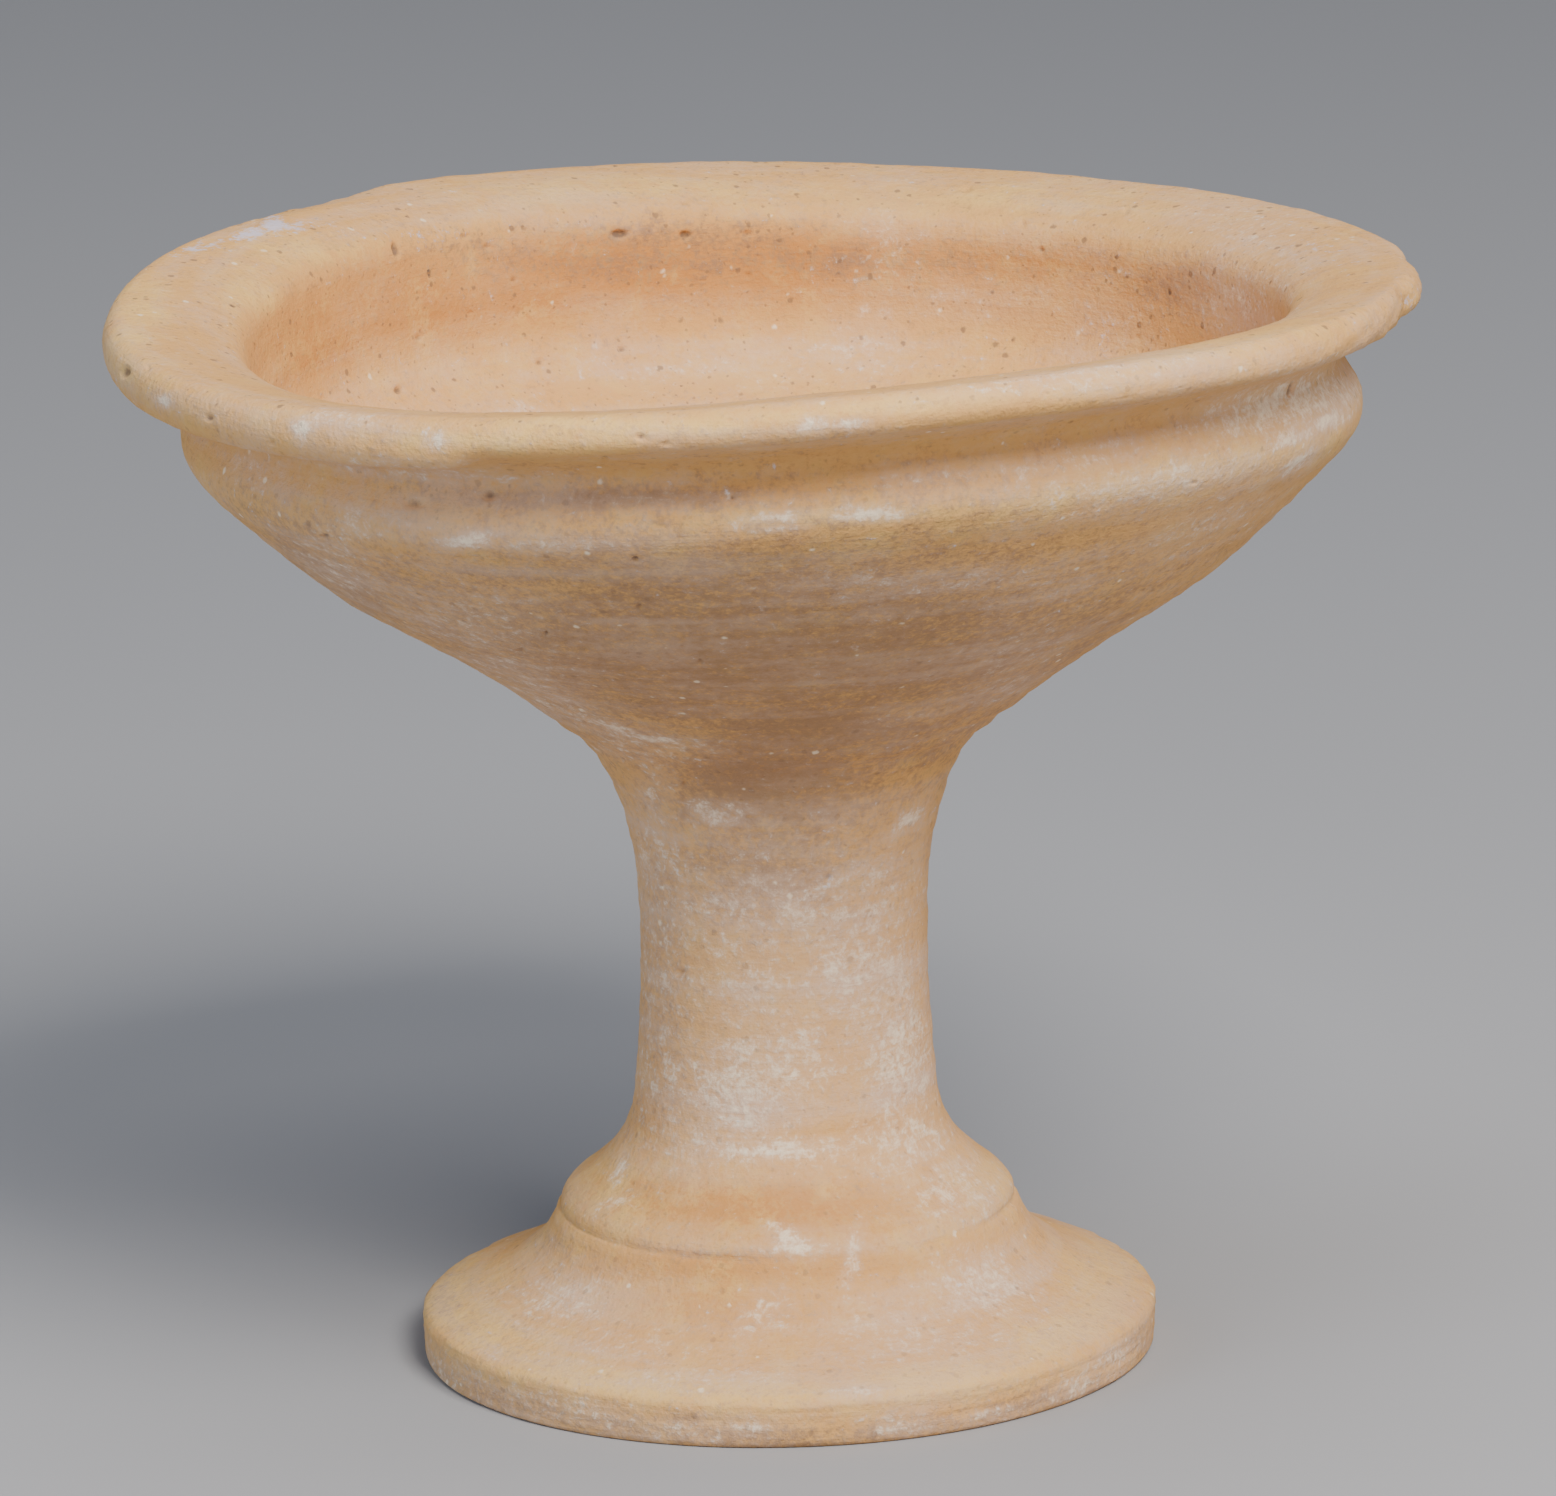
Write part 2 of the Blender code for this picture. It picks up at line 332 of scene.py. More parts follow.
    def stem_and_foot(self) -> list[Stretch]:
        """Outline down the stem, over the foot's dome, step and slope, to its upright edge.

        Returns:
            Stretches in order.
        """
        groove = self.step_groove
        neck = (self.stem_waist_radius + self.stem_neck_spread, self.stem_neck_level)
        dome = (self.step_radius - self.dome_inset, self.dome_level)
        edge_top = (self.foot_radius - self.foot_edge_round, self.foot_edge_height)
        edge_low = (self.foot_radius, self.foot_edge_height - self.foot_edge_round)
        return [
            Stretch(neck, -131, -106, self.wall_gap * self.bend_share),
            Stretch((self.stem_waist_radius, self.waist_level), -104, -90, self.wall_gap),
            Stretch((self.stem_foot_radius, self.stem_level), -90, -85, self.wall_gap),
            Stretch(dome, -86, -37, self.wall_gap),
            Stretch((self.step_radius - groove, self.step_level + groove), -42, -86, self.fine_gap),
            Stretch((self.crease_radius, self.step_level), -140, -140, self.fine_gap),
            Stretch((self.step_radius, self.step_level - groove), -30, -30, self.fine_gap),
            Stretch(edge_top, -72, -25, self.wall_gap),
            Stretch(edge_low, -28, -90, self.fine_gap),
        ]

    def underside(self) -> list[Stretch]:
        """Outline round the foot's lower edge, along the flat ring and up the hollow.

        Returns:
            Stretches in order.
        """
        quarter = (self.foot_radius - self.foot_lower_inset / 4, self.foot_lower_rise)
        under_dome = (self.step_radius - self.foot_wall, self.step_level - self.foot_wall)
        at_foot = (self.stem_foot_radius - self.stem_wall, self.stem_level)
        at_waist = (self.stem_waist_radius - self.stem_wall, self.waist_level)
        return [
            Stretch(quarter, -92, -94, self.fine_gap),
            Stretch((self.foot_radius - self.foot_lower_inset, 0.0), -110, -170, self.fine_gap),
            Stretch((self.foot_radius - self.foot_ring_width, 0.0), 180, 180, self.wall_gap),
            Stretch(under_dome, 150, 135, self.hidden_gap),
            Stretch(at_foot, 130, 95, self.hidden_gap),
            Stretch(at_waist, 93, 92, self.hidden_gap),
            Stretch((0.0, self.floor_level - self.plug_thickness), 92, 180, self.hidden_gap),
        ]

    def outline(self) -> list[Vector]:
        """The whole outline, from the bowl's floor to the hollow's top.

        Returns:
            Points as (radius, level).
        """
        points = [Vector((0.0, self.floor_level))]
        parts = (self.inside, self.lip, self.outside, self.stem_and_foot, self.underside)
        for stretch in (stretch for part in parts for stretch in part()):
            start = points[-1]
            end = Vector(stretch.end)
            chord = (end - start).length
            first = start + heading(stretch.leave) * chord * self.curve_reach
            second = end - heading(stretch.arrive) * chord * self.curve_reach
            steps = max(1, round(chord / stretch.gap))
            for step in range(1, steps + 1):
                t = step / steps
                s = 1.0 - t
                bent = first * (3 * s * s * t) + second * (3 * s * t * t)
                points.append(start * s**3 + bent + end * t**3)
        return points


class Lobe(NamedTuple):
    """A swelling or a lift round the bowl: its size, its bearing in degrees and its crests."""

    size: float
    bearing: float
    crests: int

    def at(self, angle: np.ndarray) -> np.ndarray:
        """Size of the lobe at the given angles in radians."""
        return self.size * np.cos(self.crests * (angle - math.radians(self.bearing)))


@dataclass(frozen=True)
class Settling:
    """How the soft bowl tipped, twisted and went oval, as shares of the radius and metres."""

    oval: Lobe = Lobe(0.0396, 65.4, 2)
    lobes: Lobe = Lobe(0.0141, -45.0, 3)
    twist: Lobe = Lobe(0.0023, -51.5, 2)
    wave: Lobe = Lobe(0.0005, 42.7, 3)
    tilt: Lobe = Lobe(0.0302, -104.0, 1)
    bowl_shift: float = 0.0006
    stem_lean: float = 0.0107
    tilt_spread: float = 0.0100
    knock_inward: float = 0.0014
    knock_lift: float = 0.0013
    knock_bearing: float = 12.0
    knock_spread: float = 72.0
    lip_sag: float = 0.0014
    sag_end_bearing: float = -114.0
    sag_end_spread: float = 4.0
    sag_length: float = 96.0
    sag_fade: float = 26.0

    def knock(self, angle: np.ndarray) -> np.ndarray:
        """Share of the knock at the given angles."""
        away = np.degrees(np.abs(wrapped(angle - math.radians(self.knock_bearing))))
        return np.cos(np.minimum(away / self.knock_spread, 1.0) * math.pi / 2) ** 2

    def sag(self, angle: np.ndarray) -> np.ndarray:
        """Share of the lip's sag: it ends in a short step and fades out slowly the other way.

        Args:
            angle: angles in radians.

        Returns:
            Shares from 0 to 1.
        """
        back = np.degrees(wrapped(math.radians(self.sag_end_bearing) - angle))
        rise = ease(back, 0.0, self.sag_end_spread)
        return rise * (1.0 - ease(back, self.sag_length, self.sag_length + self.sag_fade))

    def move(self, points: np.ndarray, form: Form) -> np.ndarray:
        """Where the settling leaves the points of the turned body.

        Args:
            points: positions before settling, one a row.
            form: sizes of the turned body.

        Returns:
            Positions after settling.
        """
        radius, angle, level = polar(points)
        knock = self.knock(angle) * ease(level, form.shoulder_level, form.lip_level)
        under_lip = ease(level, form.neck_level, form.lip_level)
        under_lip = under_lip - ease(level, form.lip_level, form.rim_level)
        under_lip = under_lip * ease(radius, form.neck_radius, form.rim_radius - form.lip_round)
        bowl = ease(level, form.joint_level, form.neck_level)
        tipped = np.clip((level - form.joint_level) / self.tilt_spread, 0.0, 1.0)
        wide = radius * (1.0 + bowl * (self.oval.at(angle) + self.lobes.at(angle)))
        wide = wide - self.knock_inward * knock
        lift = bowl * (self.twist.at(angle) + self.wave.at(angle))
        lift = lift + tipped * wide * self.tilt.at(angle)
        lift = lift + self.knock_lift * knock - self.lip_sag * self.sag(angle) * under_lip
        east = wide * np.cos(angle) + bowl * self.bowl_shift + self.stem_lean * level
        return np.column_stack((east, wide * np.sin(angle), level + lift))


def wrapped(angle: Union[float, np.ndarray]) -> np.ndarray:
    """The angle, in radians, taken to between -pi and pi."""
    return (np.asarray(angle) + math.pi) % (2 * math.pi) - math.pi


@dataclass(frozen=True)
class Viewpoint:
    """The camera that matches the photograph, and the projection that it gives."""

    distance: float = 1.6595
    height_angle: float = 14.374
    roll: float = 1.49
    target_height: float = 0.0715
    target_x: float = 775.46
    target_y: float = 795.93
    focal_pixels: float = 13199.0
    sensor_width: float = 36.0

    @property
    def place(self) -> Vector:
        """Where the camera stands.

        Returns:
            Its place in metres.
        """
        angle = math.radians(self.height_angle)
        away = Vector((0.0, -math.cos(angle), math.sin(angle))) * self.distance
        return Vector((0.0, 0.0, self.target_height)) + away

    def axes(self) -> tuple[Vector, Vector, Vector]:
        """Directions of the camera.

        Returns:
            Its right, up and forward unit directions.
        """
        angle = math.radians(self.height_angle)
        roll = math.radians(self.roll)
        ahead = Vector((0.0, math.cos(angle), -math.sin(angle)))
        level_right = Vector((1.0, 0.0, 0.0))
        level_up = Vector((0.0, math.sin(angle), math.cos(angle)))
        right = level_right * math.cos(roll) - level_up * math.sin(roll)
        up = level_right * math.sin(roll) + level_up * math.cos(roll)
        offset_x = PHOTO_WIDTH / 2 - self.target_x
        offset_y = self.target_y - PHOTO_HEIGHT / 2
        forward = (ahead + (right * offset_x + up * offset_y) / self.focal_pixels).normalized()
        right = (right - forward * right.dot(forward)).normalized()
        return right, right.cross(forward), forward

    def matrix(self) -> Matrix:
        """The camera's placing in the world.

        Returns:
            Its world matrix.
        """
        right, up, forward = self.axes()
        turn = Matrix((right, up, -forward)).transposed().to_4x4()
        return Matrix.Translation(self.place) @ turn

    def ray(self, x: float, y: float) -> Vector:
        """Direction from the camera through a pixel of the photograph.

        Args:
            x: pixels from the left edge.
            y: pixels from the top edge.

        Returns:
            Unit direction.
        """
        right, up, forward = self.axes()
        side = right * (x - PHOTO_WIDTH / 2) + up * (PHOTO_HEIGHT / 2 - y)
        return (forward * self.focal_pixels + side).normalized()

    def seen(self, points: np.ndarray) -> tuple[np.ndarray, np.ndarray, np.ndarray]:
        """Pixels and distance at which points appear.

        Args:
            points: positions, one a row.

        Returns:
            Pixels from the left, pixels from the top, and distance along the view.
        """
        right, up, forward = (np.array(axis) for axis in self.axes())
        offset = points - np.array(self.place)
        depth = offset @ forward
        x = PHOTO_WIDTH / 2 + self.focal_pixels * (offset @ right) / depth
        y = PHOTO_HEIGHT / 2 - self.focal_pixels * (offset @ up) / depth
        return x, y, depth


class Mark(NamedTuple):
    """A pit or patch on the surface.

    Fields: its pixel in the photograph, its width and height there in millimetres, its strength
    or its depth in millimetres, and how far it is turned, in degrees anticlockwise.
    """

    x: float
    y: float
    width: float
    height: float
    strength: float
    turn: float = 0.0


def marks(*rows: tuple[float, ...]) -> tuple[Mark, ...]:
    """Marks from rows of their fields, of which the turn may be left out."""
    return tuple(Mark(*row) for row in rows)


PITS_IN_LIP = marks(
    (125, 372, 1.5, 2.1, 0.5, -20), (209, 418, 1.2, 1.2, 0.4), (272, 443, 0.9, 0.9, 0.25),
    (221, 319, 2, 1, 0.22, -20), (148, 367, 0.7, 0.9, 0.2), (640, 437, 1.7, 1.3, 0.4),
    (665, 444, 1.2, 1, 0.3), (605, 459, 1.4, 0.9, 0.3), (683, 202, 1, 0.7, 0.3),
    (777, 203, 1.3, 0.7, 0.3, -35), (967, 189, 1.4, 0.9, 0.3, 15), (1126, 211, 1, 1, 0.3),
    (921, 408, 1.1, 0.9, 0.25), (502, 209, 1.6, 0.7, 0.22), (730, 420, 0.8, 0.7, 0.22),
    (205, 262, 1.2, 0.5, 0.2), (255, 224, 1.6, 0.5, 0.25), (330, 235, 1, 0.6, 0.2),
)
PITS_IN_BOWL = marks(
    (620, 234, 2.7, 1.4, 0.72), (685, 235, 1.8, 1.3, 0.6), (396, 249, 1.1, 2.6, 0.66, 12),
    (465, 236, 1.5, 0.9, 0.3), (487, 247, 1.2, 1, 0.3), (399, 390, 1.5, 1.3, 0.5),
    (540, 362, 1.2, 1.1, 0.45), (622, 349, 1.4, 1, 0.42), (514, 280, 1, 0.8, 0.4),
    (419, 338, 1.1, 1, 0.35), (460, 351, 0.8, 0.8, 0.3), (747, 234, 1.2, 1, 0.4),
    (1041, 250, 0.9, 1, 0.4), (1023, 223, 0.9, 0.9, 0.3), (519, 313, 0.9, 0.9, 0.3),
    (470, 313, 0.8, 0.8, 0.3), (748, 275, 0.8, 0.8, 0.3), (1138, 337, 0.8, 0.6, 0.25),
)
PITS_OUTSIDE = marks(
    (489, 495, 2.4, 1.7, 0.42), (414, 503, 3.2, 1.6, 0.36), (732, 497, 1.1, 0.9, 0.4),
    (635, 560, 1.3, 1, 0.5), (639, 607, 1.4, 1, 0.35), (546, 634, 0.8, 0.8, 0.4),
    (521, 651, 1.3, 1, 0.3), (700, 662, 0.9, 0.9, 0.35), (325, 537, 1.3, 0.9, 0.4),
    (642, 503, 1, 0.8, 0.3), (1137, 454, 0.8, 0.6, 0.3), (1194, 483, 0.9, 0.8, 0.3),
    (829, 877, 1.8, 1.4, 0.35, 40), (681, 972, 1.8, 1, 0.35, 30), (853, 849, 1, 1, 0.3),
    (685, 784, 0.9, 0.9, 0.25), (902, 1006, 1, 0.7, 0.3), (803, 1194, 0.9, 0.9, 0.2),
)
GOUGES = marks(
    (1066, 406, 0.5, 2.6, 0.16, -32), (1291, 389, 0.8, 2.8, 0.45, -20),
    (1041, 360, 0.4, 1.4, 0.16, -20), (1233, 361, 0.6, 1, 0.16, 20),
)
DENTS = marks(
    (1227, 552, 3.5, 2.6, 0.55, 35), (1228, 470, 5, 2, 0.1, 12), (320, 545, 6, 3, 0.15),
)
HOLLOWS = PITS_IN_LIP + PITS_IN_BOWL + PITS_OUTSIDE + GOUGES
LIME = marks(
    (868, 514, 9, 1.5, 1.5), (776, 518, 10, 1.3, 1.1, 6), (768, 528, 7, 0.9, 1),
    (468, 541, 7, 1.8, 1.1, 10), (1330, 422, 5, 1.3, 1.5, 20), (1288, 438, 8, 1.5, 1.1, 14),
    (1300, 460, 7, 1.5, 0.9, 36), (1080, 458, 30, 4, 0.48, 9), (920, 476, 20, 2.6, 0.4, 5),
    (811, 424, 3, 1.8, 1.3), (850, 423, 5, 1.3, 1), (302, 428, 2.2, 2.4, 1.3),
    (437, 441, 2.6, 2.4, 1.2), (165, 401, 1.8, 1.8, 1), (345, 421, 12, 3, 0.5, -10),
    (360, 525, 14, 5, 0.5), (560, 545, 16, 2, 0.45), (520, 412, 8, 1.4, 0.5),
    (1330, 385, 8, 8, 0.46), (985, 302, 26, 5, 0.36), (860, 345, 12, 9, 0.48),
    (1110, 320, 12, 8, 0.38), (1250, 232, 20, 8, 0.4, -20), (880, 243, 11, 10, 0.38),
    (1090, 388, 9, 2, 0.45, 8), (700, 372, 40, 5, 0.34), (1060, 475, 20, 6, 0.42, 8),
    (571, 250, 0.8, 0.8, 0.9), (596, 345, 1, 1, 0.9), (522, 404, 0.8, 0.8, 0.9),
    (865, 310, 1.4, 1, 0.9), (885, 312, 2.6, 2.6, 0.6), (1218, 268, 1, 1, 0.8),
    (420, 470, 30, 3, 0.42, -4), (1060, 380, 40, 3, 0.45, 8), (1200, 525, 20, 6, 0.42, 25),
    (930, 580, 40, 4, 0.36), (470, 620, 20, 9, 0.42), (600, 730, 16, 2, 0.5, -12),
    (660, 745, 14, 1.2, 0.5, -8), (900, 718, 12, 2, 0.42, 10), (520, 690, 26, 10, 0.45, -30),
    (1020, 665, 18, 10, 0.34, 30), (330, 570, 14, 9, 0.5, -35), (640, 500, 60, 2.6, 0.3),
    (250, 470, 7, 5, 0.5), (1290, 402, 24, 7, 0.95, 15), (1160, 480, 28, 4.5, 0.7, 12),
    (1240, 300, 16, 9, 0.55), (600, 722, 14, 0.8, 0.9, -15), (650, 738, 18, 0.7, 0.9, -10),
    (625, 755, 12, 0.7, 0.7, -14), (540, 700, 8, 0.8, 0.7, -35), (640, 746, 16, 5, 0.46, -8),
    (250, 470, 10, 8, 0.24),
)
LIME_BELOW = marks(
    (655, 850, 9, 12, 0.48), (892, 990, 10, 24, 0.62), (745, 1090, 15, 15, 0.76),
    (790, 1060, 20, 14, 0.62), (900, 1060, 11, 18, 0.8), (775, 1150, 26, 4, 0.8),
    (900, 1135, 13, 8, 0.76), (850, 960, 18, 24, 0.62), (800, 915, 22, 8, 0.62),
    (720, 815, 7, 3, 0.8, 10), (700, 805, 4, 2, 0.8), (908, 820, 5, 2, 1.1, 35),
    (870, 880, 16, 8, 0.52), (690, 905, 16, 3.4, 0.52), (655, 790, 6, 8, 0.46),
    (790, 1240, 6.5, 3, 1.1, -35), (853, 1255, 2, 7, 0.9, -15), (620, 1170, 1.6, 5, 1, -25),
    (618, 1200, 5, 1.6, 0.9, 20), (960, 1190, 14, 9, 0.62), (560, 1300, 14, 7, 0.62),
    (985, 1285, 14, 8, 0.74), (765, 1310, 8, 5, 0.62, 20), (740, 1340, 3, 5, 0.55),
    (860, 1392, 8, 1.8, 0.7), (690, 1380, 22, 3, 0.52), (1112, 1358, 9, 2.2, 0.72, 28),
    (490, 1353, 2.4, 2.2, 0.62), (900, 1425, 9, 3, 0.68, 5), (740, 1425, 12, 2.6, 0.62),
    (1080, 1385, 12, 3.4, 0.72, 20), (664, 960, 13, 40, 0.44), (664, 1080, 11, 24, 0.46),
    (740, 965, 20, 30, 0.46), (450, 1374, 18, 5, 0.5, -25), (570, 1410, 26, 4.6, 0.52, -12),
    (680, 1428, 16, 3.4, 0.46, -6), (1000, 1415, 20, 3, 0.36, 10), (800, 1250, 30, 2, 0.36),
    (900, 1330, 30, 9, 0.42), (640, 1345, 24, 5, 0.36),
)
WARM = marks(
    (420, 300, 28, 13, 0.9), (620, 266, 40, 9, 1.2), (820, 263, 44, 9, 1.15),
    (1000, 266, 34, 8, 0.9), (1160, 290, 18, 8, 0.7), (310, 335, 15, 14, 0.85),
    (520, 290, 30, 10, 0.85), (720, 300, 50, 7, 0.45), (760, 1205, 36, 9, 1.1),
    (650, 1200, 20, 9, 0.9), (720, 1268, 44, 6, 0.8), (720, 1310, 34, 9, 0.7),
    (650, 1130, 6, 18, 0.5), (920, 1200, 10, 8, 0.4), (665, 1050, 8, 28, 0.34),
    (680, 940, 14, 18, 0.36), (780, 770, 34, 8, 0.5), (760, 545, 90, 3, 0.3, 2),
    (800, 492, 70, 3.2, 0.45, 4), (850, 1128, 16, 2.2, 0.6, 4), (720, 1400, 50, 4, 0.3),
    (1150, 470, 40, 4, 0.3, 14), (1240, 276, 10, 4, 0.2), (930, 540, 50, 7, 0.2, 10),
    (560, 320, 30, 8, 0.4),
)
LILAC = marks(
    (255, 231, 8.5, 1.8, 1.2, 18), (274, 224, 3.2, 2.2, 1.45), (205, 246, 9, 1.2, 1, 14),
    (300, 229, 4, 1.4, 0.9, 14), (420, 236, 12, 2.4, 0.55), (1106, 330, 3.6, 3.6, 0.5),
    (1093, 353, 4, 1.2, 0.42), (1310, 245, 12, 4, 0.4, -30), (1410, 302, 2.2, 2.2, 0.9),
    (461, 287, 1.6, 1.4, 0.6), (960, 1287, 3, 1.6, 0.5), (330, 228, 8, 1.6, 0.45),
    (829, 877, 1.8, 1.4, 0.5),
)
# Brown patches: layered grime on the foot's edge; painted shade on the bowl's underside, in the
# neck under the lip, on the stem's top and left side and in the foot's crease; and darker patches
# inside the bowl.
DIRT_AND_SHADE = marks(
    (440, 1372, 18, 4, 0.5, -25), (520, 1406, 18, 3, 0.6, -14), (640, 1432, 26, 3, 0.7, -8),
    (760, 1436, 26, 3, 0.7), (900, 1432, 24, 3, 0.7, 4), (1030, 1405, 20, 4, 0.7, 14),
    (800, 1445, 26, 1.6, 0.9), (970, 1425, 20, 1.8, 0.8, 8), (1090, 1390, 14, 2, 0.7, 20),
    (680, 1419, 14, 1.4, 0.6), (1141, 1345, 5, 4, 0.5, 30), (640, 498, 50, 3.6, 0.74),
    (900, 484, 34, 2.4, 0.4, 6), (420, 490, 20, 4, 0.35, -10), (600, 640, 36, 12, 0.34),
    (820, 730, 44, 11, 0.88), (770, 785, 30, 14, 0.95), (700, 860, 20, 8, 0.34),
    (660, 960, 9, 40, 0.44), (780, 650, 130, 30, 0.82), (775, 865, 26, 16, 0.74),
    (470, 630, 50, 16, 0.6, -20), (560, 560, 30, 3, 0.3, -3), (330, 590, 34, 12, 0.8, -35),
    (470, 245, 24, 5, 0.4), (660, 236, 40, 5, 0.5), (640, 262, 50, 5, 0.5), (860, 262, 50, 5, 0.5),
    (440, 1300, 8, 8, 0.3), (1175, 290, 14, 8, 0.4), (560, 1243, 10, 3, 0.34, -20),
    (720, 1255, 24, 2, 0.3),
)
STRAW = marks(
    (480, 1330, 34, 6, 0.9, -25), (620, 1385, 36, 4, 1, -8), (760, 1395, 30, 4, 0.8),
    (930, 1385, 30, 5, 0.8, 8), (1060, 1335, 22, 6, 0.9, 28), (1100, 1270, 14, 10, 0.8),
    (450, 1280, 12, 10, 0.9), (450, 370, 24, 6, 0.3), (620, 1190, 8, 10, 0.7),
    (985, 1190, 8, 10, 0.7), (135, 320, 8, 16, 0.7), (250, 290, 8, 6, 0.6), (300, 250, 16, 4, 0.7),
    (500, 440, 30, 2.6, 0.8), (640, 426, 40, 2.4, 0.9), (900, 405, 60, 2.6, 0.8, 5),
    (1200, 352, 36, 3, 0.6, 14), (1000, 200, 50, 4, 0.6), (600, 190, 50, 3, 0.6),
    (780, 370, 40, 8, 0.5), (860, 516, 40, 2, 0.9, 2), (1010, 505, 30, 2, 0.7, 6),
    (930, 1240, 8, 8, 0.6), (1150, 480, 54, 4, 0.9, 12), (1300, 400, 20, 6, 0.6, 12),
)


class Layer(Enum):
    """Named attributes of the mesh that tell the finish where each mark lies."""

    LIME = "lime"
    WARM = "warm"
    LILAC = "lilac"
    # brown grime on the foot's edge, and painted shade under the bowl, under the lip, on the stem
    # and in the foot's crease
    DIRT_AND_SHADE = "dirt_and_shade"
    STRAW = "straw"
    GRIT = "grit"
    HOLLOW = "hollow"


PATCHES = {
    Layer.LIME: LIME + LIME_BELOW,
    Layer.WARM: WARM,
    Layer.LILAC: LILAC,
    Layer.DIRT_AND_SHADE: DIRT_AND_SHADE,
    Layer.STRAW: STRAW,
}


class Loss(NamedTuple):
    """How much of the rim's edge is gone at a bearing, in millimetres."""

    bearing: float
    depth: float


EDGE_LOSSES = (
    Loss(-44, 0.0), Loss(-33, 0.9), Loss(-24, 1.5), Loss(-16, 2.0), Loss(-9, 2.3),
    Loss(-7, 1.2), Loss(-4, 0.6), Loss(0, 0.5), Loss(4.5, 0.6), Loss(7.5, 1.3),
    Loss(10.5, 1.2), Loss(12.5, 0.3), Loss(15, 0.0),
)
TOP_LOSSES = (
    Loss(129, 0.0), Loss(133.5, 0.55), Loss(138, 0.75), Loss(146, 0.65), Loss(152, 0.40),
    Loss(160, 0.0),
)


class Wave(NamedTuple):
    """A wave over the surface: its crests round the axis, its radians to a metre up, its phase."""

    crests: float
    rise: float
    phase: float = 0.0

    def at(self, angle: np.ndarray, level: np.ndarray) -> np.ndarray:
        """Height of the wave, from -1 to 1, at the given angles and levels."""
        return np.sin(angle * self.crests + level * self.rise + self.phase)


BREAK_WAVES = (Wave(61, 1900), Wave(37, -2700, 1.0), Wave(113, 4300))


